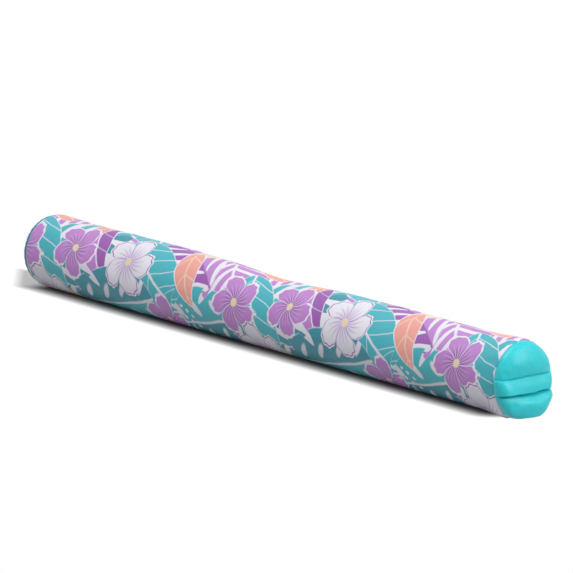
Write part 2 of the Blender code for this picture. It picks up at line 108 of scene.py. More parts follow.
@dataclass(frozen=True)
class Form:
    """The stuffed noodle's shape, as the CAD gives it, and the fullness of its zipped end."""

    length: float = 1370 * MM
    radius: float = 70 * MM
    rest_sink: float = 2 * MM
    swell: Hump = (1 * MM, -0.24, 0.08)
    waist: Hump = (3.5 * MM, 0.006, 0.09)
    flare: Hump = (1 * MM, 1, 0.09)
    seam_draw: float = 2.5 * MM
    shoulder: float = 14 * MM
    seam_gap: float = 0.3 * MM
    turned_in: float = 6 * MM
    cloth: float = 1.1 * MM
    crown: float = 20 * MM
    far_crown: float = 18 * MM
    far_power: float = 3
    power: float = 3.1
    settle: float = 3 * MM
    settle_power: float = 0.6
    settle_run: float = 30 * MM
    sag: float = 3.5 * MM
    sag_power: float = 3
    sag_start: float = -34 * MM
    sag_run: float = 62 * MM
    upper_bulge: tuple[Hump, Hump] = ((4.5 * MM, 0, 40 * MM), (1, 26 * MM, 24 * MM))
    lower_bulge: tuple[Hump, Hump] = ((2 * MM, 4 * MM, 42 * MM), (1, -42 * MM, 16 * MM))
    tuck: Hump = (4 * MM, -16.8 * MM, 1.8 * MM)
    pinch: Hump = (1 * MM, 14 * MM, 1.3 * MM)
    parted: Hump = (1.5 * MM, -46 * MM, 16 * MM)
    valley: float = 15 * MM
    upper_crease: float = 14 * MM
    upper_run: float = 20 * MM
    lower_crease: float = 18 * MM
    lower_run: float = 14 * MM
    flank_run: float = 19 * MM
    zip_rise: float = -6 * MM
    oval: float = 0.05
    near_corner: Hump = (0.034, radians(29), radians(17))
    far_corner: Hump = (0.055, radians(29), radians(17))
    lean: Hump = (0.022, radians(145), radians(24))
    section_run: float = 80 * MM
    gathers: float = 0.006
    gather_waves: Waves = ((7, 0.45, 0.3), (11, 0.4, 2.0), (17, 0.3, 4.1))
    ground_gap: float = 0.4 * MM

    @property
    def half(self) -> float:
        """Distance from the middle to a round seam."""
        return self.length / 2

    @property
    def seam_radius(self) -> float:
        """Radius of the round seams."""
        return self.body_radius(self.half) - self.seam_draw

    @property
    def axis_height(self) -> float:
        """Height of the end caps' middle."""
        return self.body_radius(self.half) - self.rest_sink

    def body_radius(self, x: float) -> float:
        """The stuffed tube's radius at a place along it."""
        swell, flare = hump(x / self.length, self.swell), hump(abs(x) / self.half, self.flare)
        return self.radius + swell + flare - hump(x / self.length, self.waist)

    def drawn_in(self, x: float) -> float:
        """How far a round seam draws the tube in at a place along it."""
        back = (self.half - abs(x)) / self.shoulder
        return self.seam_draw * (1 - flank(back)) if back < 1 else 0.0

    def section(self, turn: float) -> float:
        """The zipped end's section, a little taller than wide, with two full corners on the ground.

        Args:
            turn: The angle from straight down.

        Returns:
            The radius, as a share of a circle's.
        """
        turn = (turn + pi) % (2 * pi) - pi
        corner = self.far_corner if turn > 0 else self.near_corner
        full = self.oval * cos(2 * turn) + hump(abs(turn), corner)
        return 1 + full - hump(turn, self.lean)

    def tube_section(self, x: float, turn: float) -> float:
        """The tube's radius, as a share of a circle's, which goes over into the zipped end's section."""
        return 1 + (self.section(turn) - 1) * smooth(1 - (self.half - x) / self.section_run)

    def gathered(self, turn: float) -> float:
        """How a round seam strays from its line where the cloth is gathered, as a share of its radius."""
        return self.gathers * ripple(turn, self.gather_waves)

    def sectioned(self, y: float, z: float, spread: float = 1) -> tuple[float, float]:
        """Takes a place in the zipped end's plane from a circle to the real section, off the ground.

        Args:
            y: Place across, from the cap's middle.
            z: Place up, from the cap's middle.
            spread: How much wider than the section it lies.

        Returns:
            The place on the real cap.
        """
        turn = atan2(y, -z)
        out = min(1.0, hypot(y, z) / self.seam_radius)
        share = (self.section(turn) + self.gathered(turn) * out**4) * spread
        return y * share, max(z * share, self.ground_gap - self.axis_height)

    def settled(self, z: float) -> float:
        """How much of the lower lobe's fullness a place has, by its height."""
        return smooth((self.zip_rise - z) / self.settle_run)

    def leaning(self, y: float) -> float:
        """How much of the lower lobe's sag a place has: more on the side away from the camera."""
        return smooth((y - self.sag_start) / self.sag_run)

    def dome(self, y: float, z: float, crown: float, power: float) -> float:
        """Height of a stuffed cap over its seam, squarer in profile with a higher power."""
        reach = min(1.0, hypot(y, z) / self.seam_radius)
        return crown * (1 - reach**power) ** (1 / power)

    def zip_dome(self, y: float, z: float) -> float:
        """Height of the zipped cap: two stuffed lobes that puff up close to the flap's edges.

        Args:
            y: Place along the zip, from the cap's middle.
            z: Place up, from the cap's middle.

        Returns:
            The height over the round seam.
        """
        chord = sqrt(max(0.0, self.seam_radius**2 - z**2))
        edge = flank((chord - abs(y)) / self.flank_run)
        trough = self.valley * edge
        above, full, lean = z - self.zip_rise, self.settled(z), self.leaning(y)
        crown = self.crown + full * (self.settle + self.sag * lean)
        whole = self.dome(y, z, crown, self.power + full * (self.settle_power + self.sag_power * lean))
        for across, up in (self.upper_bulge, self.lower_bulge):
            whole += hump(y, across) * hump(z, up)
        start, run = self.upper_crease, self.upper_run
        if above <= 0:
            start, run = self.lower_crease, self.lower_run
        if above < 0:
            start += hump(y, self.parted)
        fold = hump(above, self.tuck) + hump(above, self.pinch)
        return trough + (whole - trough) * flank((abs(above) - start) / run) - fold * edge


FORM = Form()


class Ink(Enum):
    """The print's colours."""

    WHITE = (0.84, 0.82, 0.91)
    LILAC = (0.70, 0.62, 0.83)
    ORCHID = (0.54, 0.24, 0.64)
    PLUM = (0.33, 0.10, 0.44)
    TEAL = (0.06, 0.47, 0.55)
    DEEP = (0.03, 0.29, 0.38)
    CREAM = (0.88, 0.72, 0.50)
    CORAL = (0.88, 0.38, 0.33)


def joined(operation: str, order: int = 1) -> Callable[..., "Signal"]:
    """A method of Signal that puts its numbers through one Math node, from the last with order -1."""
    return lambda *numbers: numbers[0].nodes.math(operation, *numbers[::order])


class Signal:
    """A number or colour that runs between nodes."""

    __add__ = joined("ADD")
    __sub__ = joined("SUBTRACT")
    __rsub__ = joined("SUBTRACT", -1)
    __mul__ = joined("MULTIPLY")
    __truediv__ = joined("DIVIDE")
    __pow__ = joined("POWER")
    __abs__ = joined("ABSOLUTE")
    cos = joined("COSINE")
    most = joined("MAXIMUM")
    least = joined("MINIMUM")

    def __init__(self, nodes: "Nodes", socket: Socket) -> None:
        """Wraps one output."""
        self.nodes, self.socket = nodes, socket

    def ramp(self, slope: float, start: float) -> "Signal":
        """A straight ramp from a start at 0, kept between 0 and 1."""
        return self.nodes.math("MULTIPLY_ADD", self, slope, start, clamp=True)

    def edge(self, softness: float) -> "Signal":
        """1 where the number is positive and 0 where it is negative, with a soft edge."""
        return self.ramp(1 / softness, 0.5)

    def wrap(self, half: float) -> "Signal":
        """The number brought into a range each side of 0."""
        return self.nodes.math("WRAP", self, half, -half)


class Nodes:
    """Builds one material's nodes from plain arithmetic."""

    def __init__(self, name: str, tree: bpy.types.NodeTree | None = None) -> None:
        """Starts a material with a Principled shader, or goes on in a tree that is given."""
        self.tree = tree
        if tree is None:
            self.material = bpy.data.materials.new(name)
            self.material.use_nodes = True
            self.tree = self.material.node_tree

    def add(self, kind: str, *values: object, **named: object) -> bpy.types.Node:
        """Adds a node.

        Args:
            kind: Its type, without the word ShaderNode.
            values: What its first inputs get, in order, with None for one that is left alone.
            named: What other inputs get, each name with a capital, and its settings, in small letters.

        Returns:
            The node.
        """
        node = self.tree.nodes.new(kind if kind.startswith("NodeGroup") else "ShaderNode" + kind)
        for name, value in named.items():
            if name.islower():
                setattr(node, name, value)
            else:
                self.feed(node.inputs[name], value)
        for socket, value in zip(node.inputs, values):
            self.feed(socket, value)
        return node

    def feed(self, socket: Socket, value: object) -> None:
        """Links or sets one input, or leaves it alone.

        Args:
            socket: The input.
            value: A signal, an output, an ink, a number, a tuple, or None.
        """
        if isinstance(value, (Signal, Socket)):
            self.tree.links.new(getattr(value, "socket", value), socket)
        elif value is not None:
            value = value.value if isinstance(value, Ink) else value
            socket.default_value = (*value, 1) if socket.type == "RGBA" else value

    def math(self, operation: str, *values: object, clamp: bool = False) -> Signal:
        """One Math node."""
        return Signal(self, self.add("Math", *values, operation=operation, use_clamp=clamp).outputs[0])

    def vector(self, operation: str, *values: object) -> Socket:
        """One Vector Math node, and its vector."""
        return self.add("VectorMath", *values, operation=operation).outputs[0]

    def parts(self, vector: Socket) -> tuple[Signal, ...]:
        """The three numbers of a vector."""
        return tuple(Signal(self, output) for output in self.add("SeparateXYZ", vector).outputs)

    def mix(self, share: object, low: object, high: object) -> Signal:
        """A colour between two others."""
        return Signal(self, self.add("Mix", share, *[None] * 5, low, high, data_type="RGBA").outputs[2])

    def noise(self, vector: Socket, scale: float, detail: float = 2) -> Signal:
        """A noise texture on a vector."""
        return Signal(self, self.add("TexNoise", Vector=vector, Scale=scale, Detail=detail).outputs[0])

    def place(self) -> Socket:
        """The place in the model's frame, in metres."""
        return self.add("TexCoord").outputs["Object"]

    def bump(self, height: object, depth: float, after: Socket | None = None) -> Socket:
        """A bump of a depth in metres, over another where one is given."""
        return self.add("Bump", Strength=1, Distance=depth, Height=height, Normal=after).outputs[0]

    def seen(self) -> Signal:
        """1 for what the camera sees, straight, in metal or through glass."""
        ray = self.add("LightPath").outputs
        direct = self.math("MAXIMUM", ray["Is Camera Ray"], ray["Is Glossy Ray"])
        return direct.most(ray["Is Transmission Ray"])

    def finish(self, **looks: object) -> Material:
        """Sets the shader's inputs, named with underscores for spaces, and returns the material."""
        for name, value in looks.items():
            self.feed(self.tree.nodes["Principled BSDF"].inputs[name.replace("_", " ")], value)
        return self.material


@dataclass(frozen=True)
class Motif:
    """One drawing on the print: its place and reach in millimetres of cloth, and its turn in degrees."""

    place: tuple[float, float]
    reach: float
    turn: float
    inks: tuple[Ink, ...]

    def local(self, nodes: Nodes, cloth: Socket) -> tuple[Signal, ...]:
        """Finds the drawing's own frame, where its reach is 1.

        Args:
            nodes: The print's nodes.
            cloth: The place on the cloth, in millimetres.

        Returns:
            The place along the drawing and across it.
        """
        low = (self.place[0] - REPEAT[0] / 2, self.place[1] - REPEAT[1] / 2, -1)
        high = (self.place[0] + REPEAT[0] / 2, self.place[1] + REPEAT[1] / 2, 1)
        wrapped = nodes.vector("WRAP", cloth, high, low)
        middle, turn, size = (*self.place, 0), (0, 0, radians(self.turn)), (self.reach, self.reach, 1)
        turned = nodes.add("Mapping", wrapped, middle, turn, size, vector_type="TEXTURE")
        return nodes.parts(turned.outputs[0])[:2]

    def draw(self, nodes: Nodes, along: Signal, across: Signal, ground: Socket) -> Signal:
        """Draws over the ground.

        Args:
            nodes: The print's nodes.
            along: The place along the drawing, which reaches from -1 to 1.
            across: The place across it.
            ground: The colour so far.

        Returns:
            The colour with the drawing.
        """
        raise NotImplementedError

    def stamp(self, nodes: Nodes, cloth: Socket, ground: Signal) -> Signal:
        """Draws over the ground in a node group of its own.

        Args:
            nodes: The material's nodes.
            cloth: The place on the cloth, in millimetres.
            ground: The colour so far.

        Returns:
            The colour with the drawing.
        """
        tree = bpy.data.node_groups.new(type(self).__name__.lower(), "ShaderNodeTree")
        sockets = ("Cloth", "INPUT", "Vector"), ("Ground", "INPUT", "Color"), ("Colour", "OUTPUT", "Color")
        for name, way, kind in sockets:
            tree.interface.new_socket(name, in_out=way, socket_type=f"NodeSocket{kind}")
        inner = Nodes("drawing", tree)
        given = inner.add("NodeGroupInput").outputs
        inner.add("NodeGroupOutput", self.draw(inner, *self.local(inner, given[0]), given[1]))
        group = nodes.add("Group", node_tree=tree)
        nodes.feed(group.inputs[0], cloth)
        nodes.feed(group.inputs[1], ground)
        return Signal(nodes, group.outputs[0])


@dataclass(frozen=True)
class Blade(Motif):
    """A drawing about a bent midrib, whose two halves are the first two inks."""

    width: float = 0.38
    bend: float = 0.15
    midrib: float = 0.018
    slant: float = 0.9
    soft: float = 0.015

    def halves(self, nodes: Nodes, along: Signal, across: Signal) -> tuple[Signal, Signal, Signal]:
        """The fullness along the blade, the distance from its midrib, and the colour of its halves."""
        full = (1 - along * along).most(0)
        side = across - full * self.bend
        return full, abs(side), nodes.mix(side.edge(0.02), self.inks[0], self.inks[1])


@dataclass(frozen=True)
class Leaf(Blade):
    """A leaf: its third ink is the veins', and it may be split between them or have windows along them."""

    veins: float = 4
    vein_share: float = 0.02
    split: float = 0
    windows: bool = False
    taper: float = 0.3
    roundness: float = 0.72
    rim: float = 3.2
    window: float = 0.05
    window_step: float = 0.17

    def draw(self, nodes: Nodes, along: Signal, across: Signal, ground: Socket) -> Signal:
        """Draws the leaf over the ground, as Motif.draw says."""
        full, out, halves = self.halves(nodes, along, across)
        row = ((along - out * self.slant) * (pi * self.veins)).cos()
        limit = full**self.roundness * (1 - along * self.taper) * self.width
        if self.split:
            limit = limit * nodes.math("MULTIPLY_ADD", (row + 0.45).least(0), self.split, 1)
        left = limit - out
        vein = (row - (1 - self.vein_share)).edge(0.09).most((self.midrib - out).edge(self.soft))
        if self.windows:
            step = (along + out * 0.6).wrap(self.window_step)
            spot = (step * step + (out - self.width * 0.4) ** 2 * 0.3) ** 0.5
            vein = vein.most((self.window - spot).edge(0.02))
        drawn = nodes.mix(vein, halves, self.inks[2])
        drawn = nodes.mix((self.rim / self.reach - left).edge(self.soft), drawn, Ink.WHITE)
        return nodes.mix((left - 0.012).edge(self.soft), ground, drawn)


@dataclass(frozen=True)
class Frond(Blade):
    """A palm frond of slanted leaflets, on a thin white edge."""

    midrib: float = 0.022
    slant: float = 1.1
    leaflets: float = 6
    gap: float = 1.2

    def draw(self, nodes: Nodes, along: Signal, across: Signal, ground: Socket) -> Signal:
        """Draws the frond over the ground, as Motif.draw says."""
        full, out, halves = self.halves(nodes, along, across)
        share = out / (full**0.5 * self.width + 0.001)
        row = ((along - out * self.slant) * (pi * self.leaflets)).cos()
        body = (row - share * self.gap + 0.95).edge(0.2).most((self.midrib - out).edge(self.soft))
        ground = nodes.mix((1.04 - share).edge(0.03), ground, Ink.WHITE)
        return nodes.mix(body * (1 - share).edge(0.04), ground, halves)


@dataclass(frozen=True)
class Blossom(Motif):
    """A five-petalled blossom: inks are the petals', their depth's, the outline's and the eye's."""

    petals: int = 5
    swirl: float = 0.5
    outline: float = 0.035
    eye: float = 0.13

    def draw(self, nodes: Nodes, along: Signal, across: Signal, ground: Socket) -> Signal:
        """Draws the blossom over the ground, as Motif.draw says."""
        petals, depth, line, eye = self.inks
        out = (along * along + across * across) ** 0.5
        turn = nodes.math("ARCTAN2", across, along) + out * self.swirl
        petal = turn.wrap(pi / self.petals)
        rim = (petal * (self.petals / 2)).cos().most(0.0001) ** 0.42 * 0.6 + 0.38
        left = rim + (petal * 23).cos() * 0.018 - out
        vein = ((petal * 21).cos() - 0.8).edge(0.25) * out.ramp(-1.8, 1.25)
        fill = nodes.mix(out.ramp(-2.2, 1.25), petals, depth)
        fill = nodes.mix(vein, fill, line)
        fill = nodes.mix((self.outline - left).edge(0.02), fill, line)
        fill = nodes.mix((self.eye - out).edge(0.03), fill, eye)
        return nodes.mix(left.edge(0.02), nodes.mix((left + 0.05).edge(0.02), ground, Ink.WHITE), fill)


@dataclass(frozen=True)
class Berries(Motif):
    """A spray of round dots in rows: its ink is the dots'."""

    step: float = 0.42
    berry: float = 0.11

    def draw(self, nodes: Nodes, along: Signal, across: Signal, ground: Socket) -> Signal:
        """Draws the dots over the ground, as Motif.draw says."""
        low, high = along.wrap(self.step / 2), across.wrap(self.step / 2)
        dot = (self.berry - (low * low + high * high) ** 0.5).edge(0.03)
        inside = (1 - (along * along + across * across * 4) ** 0.5).edge(0.05)
        return nodes.mix(dot * inside, ground, self.inks[0])


def spread(kind: type[Motif], rows: tuple[tuple, ...], varied: str = "", **shared: object) -> list[Motif]:
    """Motifs of one kind.

    Args:
        kind: Their class.
        rows: For each, its place across and up, its reach, its turn, and its varied values.
        varied: The names of the values that vary.
        shared: The values that all of them have.

    Returns:
        The motifs, in the order of their rows.
    """
    names = varied.split()
    return [
        kind((x, y), reach, turn, **shared, **dict(zip(names, rest)))
        for x, y, reach, turn, *rest in rows
    ]


REPEAT = (640.0, 440.0)
WHITE, LILAC, ORCHID, PLUM, TEAL, DEEP, CREAM, CORAL = Ink
STRIPED = (
    (60, 60, 175, 20, 0.8, 0.08), (300, 20, 170, -25, 0.8, -0.1), (520, 110, 170, 50, 0.75, 0.08),
    (200, 230, 170, -60, 0.8, 0.1), (420, 290, 175, 15, 0.75, -0.08), (30, 330, 165, 110, 0.8, 0.08),
)
PALMS = (
    (340, 105, 140, 200, (PLUM, ORCHID), 7, 0.42, 0.2), (590, 330, 140, 75, (ORCHID, PLUM), 7, 0.42, 0.2),
    (45, 130, 150, -28, (TEAL, DEEP), 6, 0.5, 0.15), (350, 360, 150, 24, (TEAL, DEEP), 6, 0.5, -0.15),
    (545, 395, 130, 150, (DEEP, TEAL), 6, 0.46, 0.15),
)
BANDED = (
    (176, 50, 128, 34, 7, 0.46, -0.2), (612, 215, 140, 64, 7, 0.44, -0.06),
    (335, 170, 150, 32, 8, 0.42, 0.1),
)
DUSKY = (
    (225, 395, 90, 155, 0.36), (480, 30, 90, 10, 0.36), (128, 128, 92, 60, 0.38),
    (535, 290, 100, 168, 0.38), (300, 292, 96, 18, 0.38),
)
WINDOWED = (
    (150, 242, 168, 168, 0.46, 0.75, -0.06), (462, 214, 160, -14, 0.46, 0.8, 0.08),
    (40, 420, 128, 24, 0.5, 0.75, 0.06),
)
PALE = ((400, 68, 70, 130), (208, 325, 70, 10), (30, 258, 66, 30))
ROSY = ((560, 60, 70, 200), (92, 66, 72, 95), (402, 138, 72, 64, 0.42), (410, 415, 70, 60, 0.4))
PURPLE = ((62, 148, 60, 30), (338, 250, 58, 10), (548, 168, 62, 50), (290, 402, 60, 0))
LIGHT = ((226, 150, 66, 20), (608, 262, 66, 65), (478, 398, 66, 15))
MOTIFS: tuple[Motif, ...] = (
    *spread(Leaf, STRIPED, "vein_share bend", inks=(ORCHID, ORCHID, WHITE), veins=10, width=0.46),
    *spread(Frond, PALMS, "inks leaflets width bend"),
    *spread(Leaf, BANDED, "veins width bend", inks=(TEAL, TEAL, WHITE)),
    *spread(Leaf, DUSKY, "width", inks=(PLUM, ORCHID, WHITE), vein_share=0),
    *spread(Leaf, WINDOWED, "width split bend", inks=(TEAL, DEEP, WHITE), vein_share=-0.1, windows=True),
    *spread(Leaf, PALE, inks=(CREAM, CREAM, WHITE), veins=3),
    *spread(Leaf, ROSY, "width", inks=(CORAL, CORAL, CREAM), veins=3),
    *spread(Blossom, PURPLE, inks=(ORCHID, PLUM, WHITE, CREAM)),
    Blossom((470, 322), 48, 70, (CORAL, ORCHID, WHITE, CREAM)),
    Blossom((150, 425), 50, 25, (PLUM, ORCHID, WHITE, CORAL)),
    *spread(Blossom, LIGHT, inks=(WHITE, LILAC, PLUM, CREAM)),
    Berries((404, 226), 40, 30, (WHITE,)),
)


def tint(colour: Rgb, share: float, lift: float = 0.0) -> Rgb:
    """A lighter or darker tone of a colour."""
    return tuple(min(1.0, value * share + lift) for value in colour)


@dataclass(frozen=True)
class Knit:
    """A smooth polyester knit: its courses and wales in metres, and how it takes light."""

    name: str
    course: float = 1.1 * MM
    wale: float = 0.85 * MM
    depth: float = 0.06 * MM
    lump: float = 1.2 * MM
    lumps: float = 38
    roughness: float = 0.45
    sheen: float = 0.08
    gloss: float = 0.4

    def close(self, nodes: Nodes, colour: object, first: Signal, second: Signal, place: Socket) -> Material:
        """Finishes the material, with its stitches' relief over the slight unevenness of the beads.

        Args:
            nodes: The material's nodes.
            colour: Its colour.
            first: Place along the courses, in metres.
            second: Place along the wales, in metres.
            place: Place for the unevenness.

        Returns:
            The material.
        """
        base = nodes.bump(nodes.noise(place, self.lumps, 1), self.lump)
        wave = (first * (2 * pi / self.course)).cos()
        loops = (second * (2 * pi / self.wale) + wave * 0.8).cos()
        return nodes.finish(
            Base_Color=colour, Normal=nodes.bump(loops * 0.5 + wave * 0.25, self.depth, base),
            Roughness=self.roughness, Sheen_Weight=self.sheen, Sheen_Roughness=0.35,
            Specular_IOR_Level=self.gloss,
        )


@dataclass(frozen=True)
class PrintedKnit(Knit):
    """The sleeve's knit, printed with blossoms and leaves in a repeat that sways a little."""

    sway: float = 9
    sways: float = 0.02

    def build(self) -> Material:
        """Makes the material.

        Returns:
            The material.
        """
        nodes = Nodes(self.name)
        flat = nodes.add("UVMap", uv_map="cloth").outputs[0]
        cloth = nodes.vector("SCALE", flat, None, None, 1000)
        swaying = nodes.add("TexNoise", Vector=cloth, Scale=self.sways, Detail=2).outputs[1]
        shift = nodes.vector("SUBTRACT", swaying, (0.5, 0.5, 0.5))
        cloth = nodes.vector("ADD", cloth, nodes.vector("SCALE", shift, None, None, self.sway))
        colour = nodes.mix(0.0, Ink.WHITE, Ink.WHITE)
        for motif in MOTIFS:
            colour = motif.stamp(nodes, cloth, colour)
        return self.close(nodes, colour, *nodes.parts(flat)[:2], nodes.place())


@dataclass(frozen=True)
class PlainKnit(Knit):
    """The caps' and flap's knit, in one dyed colour that varies a little with its stitches."""

    colour: Rgb = (0.012, 0.66, 0.72)
    mottle: float = 260

    def build(self) -> Material:
        """Makes the material.

        Returns:
            The material.
        """
        nodes = Nodes(self.name)
        place = nodes.place()
        mottle = nodes.noise(place, self.mottle, 3)
        colour = nodes.mix(mottle, tint(self.colour, 0.9), tint(self.colour, 1.08, 0.01))
        return self.close(nodes, colour, *nodes.parts(place)[1:], place)


@dataclass(frozen=True)
class Metal:
    """Nickel plate or spring steel, with fine scratches along it."""

    name: str
    colour: Rgb
    roughness: float
    scratches: Point = (900.0, 260.0, 5200.0)
    scratch_depth: float = 0.02 * MM
    wear: float = 420

    def build(self) -> Material:
        """Makes the material.

        Returns:
            The material.
        """
        nodes = Nodes(self.name)
        place = nodes.place()
        scratch = nodes.noise(nodes.vector("MULTIPLY", place, self.scratches), 1, 3)
        colour = nodes.mix(nodes.noise(place, self.wear), tint(self.colour, 0.82), self.colour)
        rough, normal = scratch * 0.3 + (self.roughness - 0.15), nodes.bump(scratch, self.scratch_depth)
        return nodes.finish(Base_Color=colour, Roughness=rough, Normal=normal, Metallic=1.0)


@dataclass(frozen=True)
class Plastic:
    """Drawn nylon with a soft gloss."""

    name: str
    colour: Rgb
    grain: float = 900
    depth: float = 0.03 * MM

    def build(self) -> Material:
        """Makes the material.

        Returns:
            The material.
        """
        nodes = Nodes(self.name)
        tone = nodes.noise(nodes.place(), self.grain)
        colour = nodes.mix(tone, self.colour, tint(self.colour, 1.15))
        normal = nodes.bump(tone, self.depth)
        return nodes.finish(Base_Color=colour, Roughness=tone * 0.2 + 0.3, Normal=normal)


@dataclass(frozen=True)
class Woven:
    """A plain or herringbone weave of a pitch in metres, with painted shade where its threads dip."""

    name: str
    colour: Rgb
    pitch: float
    slant: float = 0
    depth: float = 0.12 * MM

    def build(self) -> Material:
        """Makes the material.

        Returns:
            The material.
        """
        nodes = Nodes(self.name)
        x, y, z = nodes.parts(nodes.place())
        over = ((y + x * 0.5) * (2 * pi / self.pitch)).cos()
        under = ((z + abs((y / (self.pitch * 3)).wrap(0.5)) * self.slant) * (2 * pi / self.pitch)).cos()
        height = over * under * 0.5 + 0.5
        # Painted shade: the colour darkens where the threads dip under each other.
        colour = nodes.mix(height, tint(self.colour, 0.72), self.colour)
        normal = nodes.bump(height, self.depth)
        return nodes.finish(Base_Color=colour, Roughness=0.8, Normal=normal, Sheen_Weight=0.2)


@dataclass(frozen=True)
class Beads:
    """Expanded foam beads packed together, seen as their rounded tops, with painted shade in the gaps between
    them.
    """

    name: str
    grain: float = 2.6 * MM
    depth: float = 0.8 * MM
    top: Rgb = (0.93, 0.93, 0.93)
    # The gap colour is painted shade between the beads, whose own colour is the top one.
    gap: Rgb = (0.55, 0.55, 0.57)

    def build(self) -> Material:
        """Makes the material.

        Returns:
            The material.
        """
        nodes = Nodes(self.name)
        cells = nodes.add("TexVoronoi", Vector=nodes.place(), Scale=1 / self.grain)
        near = Signal(nodes, cells.outputs["Distance"])
        # Painted shade: darker towards the gaps between the beads.
        colour = nodes.mix(near, self.top, self.gap)
        return nodes.finish(Base_Color=colour, Roughness=0.65, Normal=nodes.bump(1 - near, self.depth))


def pick(piece: Piece | None = None) -> None:
    """Deselects everything, and then selects a piece and makes it the active one."""
    bpy.ops.object.select_all(action="DESELECT")
    if piece:
        piece.select_set(True)
        bpy.context.view_layer.objects.active = piece


@contextmanager
def editing(piece: Piece, select: str | None = "SELECT") -> Iterator[None]:
    """Goes into edit mode on one piece and out again, and first selects all, nothing or no more."""
    pick(piece)
    bpy.ops.object.mode_set(mode="EDIT")
    if select:
        bpy.ops.mesh.select_all(action=select)
    yield
    bpy.ops.object.mode_set(mode="OBJECT")


def shade(piece: Piece) -> None:
    """Gives a piece smooth shading all over."""
    piece.data.polygons.foreach_set("use_smooth", [True] * len(piece.data.polygons))


def dress(piece: Piece, finish: Material, body: str, slot: str, nodes: tuple[str, ...] = ()) -> Piece:
    """Gives a piece its finish and its place in the model.

    Args:
        piece: The finished mesh.
        finish: Its material.
        body: The body that it rides on.
        slot: Its material slot, which is not used.
        nodes: The CAD nodes that it stands for.

    Returns:
        The piece.
    """
    piece.data.materials.clear()
    piece.data.materials.append(finish)
    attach(piece, body)
    if nodes:
        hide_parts(*nodes)
    return piece


def points(mesh: bpy.types.Mesh) -> np.ndarray:
    """A mesh's points, one row each."""
    flat = np.empty(len(mesh.vertices) * 3)
    mesh.vertices.foreach_get("co", flat)
    return flat.reshape(-1, 3)


class Skin:
    """Skins of cloth made from a flat grid."""

    @staticmethod
    def grid(name: str, columns: int, rows: int, spot: Spot, cut: tuple[float, float] | None = None) -> Piece:
        """Lays a grid on a surface, with a UV map named cloth.

        Args:
            name: The piece's name.
            columns: Faces along the grid's first way.
            rows: Faces along its second way.
            spot: The place of each point, from its shares along both ways.
            cut: The flat cloth's size for the UV map, in metres.

        Returns:
            The grid.
        """
        pick()
        bpy.ops.mesh.primitive_grid_add(x_subdivisions=columns, y_subdivisions=rows, size=1, calc_uvs=True)
        skin = bpy.context.object
        skin.name = skin.data.name = name
        shares = points(skin.data)[:, :2] + 0.5
        spots = [spot(float(a), float(b)) for a, b in shares]
        skin.data.vertices.foreach_set("co", np.array(spots).ravel())
        skin.data.update()
        layer = skin.data.uv_layers[0]
        layer.name = "cloth"
        if cut:
            flat = np.empty(len(layer.data) * 2)
            layer.data.foreach_get("uv", flat)
            layer.data.foreach_set("uv", (flat.reshape(-1, 2) * np.array(cut)).ravel())
        return skin

    @staticmethod
    def weld(skin: Piece, distance: float = 0.01 * MM) -> None:
        """Joins the grid's meeting edges and turns its faces outwards."""
        with editing(skin):
            bpy.ops.mesh.remove_doubles(threshold=distance)
            bpy.ops.mesh.normals_make_consistent(inside=False)

    @staticmethod
    def face_out(skin: Piece, side: int = 1) -> None:
        """Turns the faces over where they look inwards, at the end of X that side gives."""
        skin.data.update()
        if sum(face.normal.x * side * face.area for face in skin.data.polygons) < 0:
            skin.data.flip_normals()

    @staticmethod
    def calm(skin: Piece, move: np.ndarray, passes: int) -> np.ndarray:
        """Evens out how far neighbouring points have moved, so that only the wide folds stay.

        Args:
            skin: The cloth that the points belong to.
            move: How far each point has moved.
            passes: How often each point is averaged with its neighbours.

        Returns:
            The calmer moves.
        """
        ends = np.array([edge.vertices[:] for edge in skin.data.edges])
        count = np.bincount(ends.ravel(), minlength=len(move))[:, None]
        for _ in range(passes):
            around = np.zeros_like(move)
            np.add.at(around, ends[:, 0], move[ends[:, 1]])
            np.add.at(around, ends[:, 1], move[ends[:, 0]])
            move = (move + around / np.maximum(count, 1)) / 2
        return move

    @staticmethod
    def stuff(skin: Piece, free: Callable[[Vector], float], reach: float, passes: int) -> None:
        """Lets stuffing press the cloth out as far as its held parts allow.

        Args:
            skin: The cloth, before it gets its thickness.
            free: How free a point is, from 0 where a seam holds it to 1.
            reach: The furthest that a point may move.
            passes: How often the small wrinkles are evened out.
        """
        rest = points(skin.data)
        freedom = np.array([within(free(Vector(point))) for point in rest])
        held = skin.vertex_groups.new(name="held")
        for index, share in enumerate(freedom):
            held.add([index], 1 - share, "REPLACE")
        cloth = skin.modifiers.new("stuffing", "CLOTH")
        settings = cloth.settings
        settings.quality = 6
        settings.mass = 0.15
        settings.tension_stiffness = settings.compression_stiffness = 12
        settings.shear_stiffness = 4
        settings.bending_stiffness = 0.02
        settings.use_pressure = True
        settings.uniform_pressure_force = 4
        settings.vertex_group_mass = "held"
        settings.shrink_min = -0.03
        settings.effector_weights.gravity = 0
        cloth.collision_settings.use_collision = False
        cloth.point_cache.frame_start = 1
        cloth.point_cache.frame_end = 20
        scene = bpy.context.scene
        for number in range(1, 21):
            scene.frame_set(number)
            bpy.context.view_layer.update()
        pick(skin)
        bpy.ops.object.modifier_apply(modifier=cloth.name)
        scene.frame_set(1)
        move = Skin.calm(skin, points(skin.data) - rest, passes)
        length = np.maximum(np.linalg.norm(move, axis=1, keepdims=True), 1e-9)
        move *= np.minimum(1, reach * np.tanh(length / reach) / length) * freedom[:, None]
        skin.data.vertices.foreach_set("co", (rest + move).ravel())
        skin.data.update()
        skin.vertex_groups.clear()
        log.info("%s: stuffing moved it %.1f mm at most", skin.name, float(np.abs(move).max()) / MM)

    @staticmethod
    def thicken(skin: Piece, thickness: float, outwards: bool = False) -> None:
        """Gives the skin its cloth's thickness, inwards unless told, and smooth shading."""
        pick(skin)
        shell = skin.modifiers.new("cloth", "SOLIDIFY")
        shell.thickness = thickness
        shell.offset = 1 if outwards else -1
        bpy.ops.object.modifier_apply(modifier=shell.name)
        shade(skin)


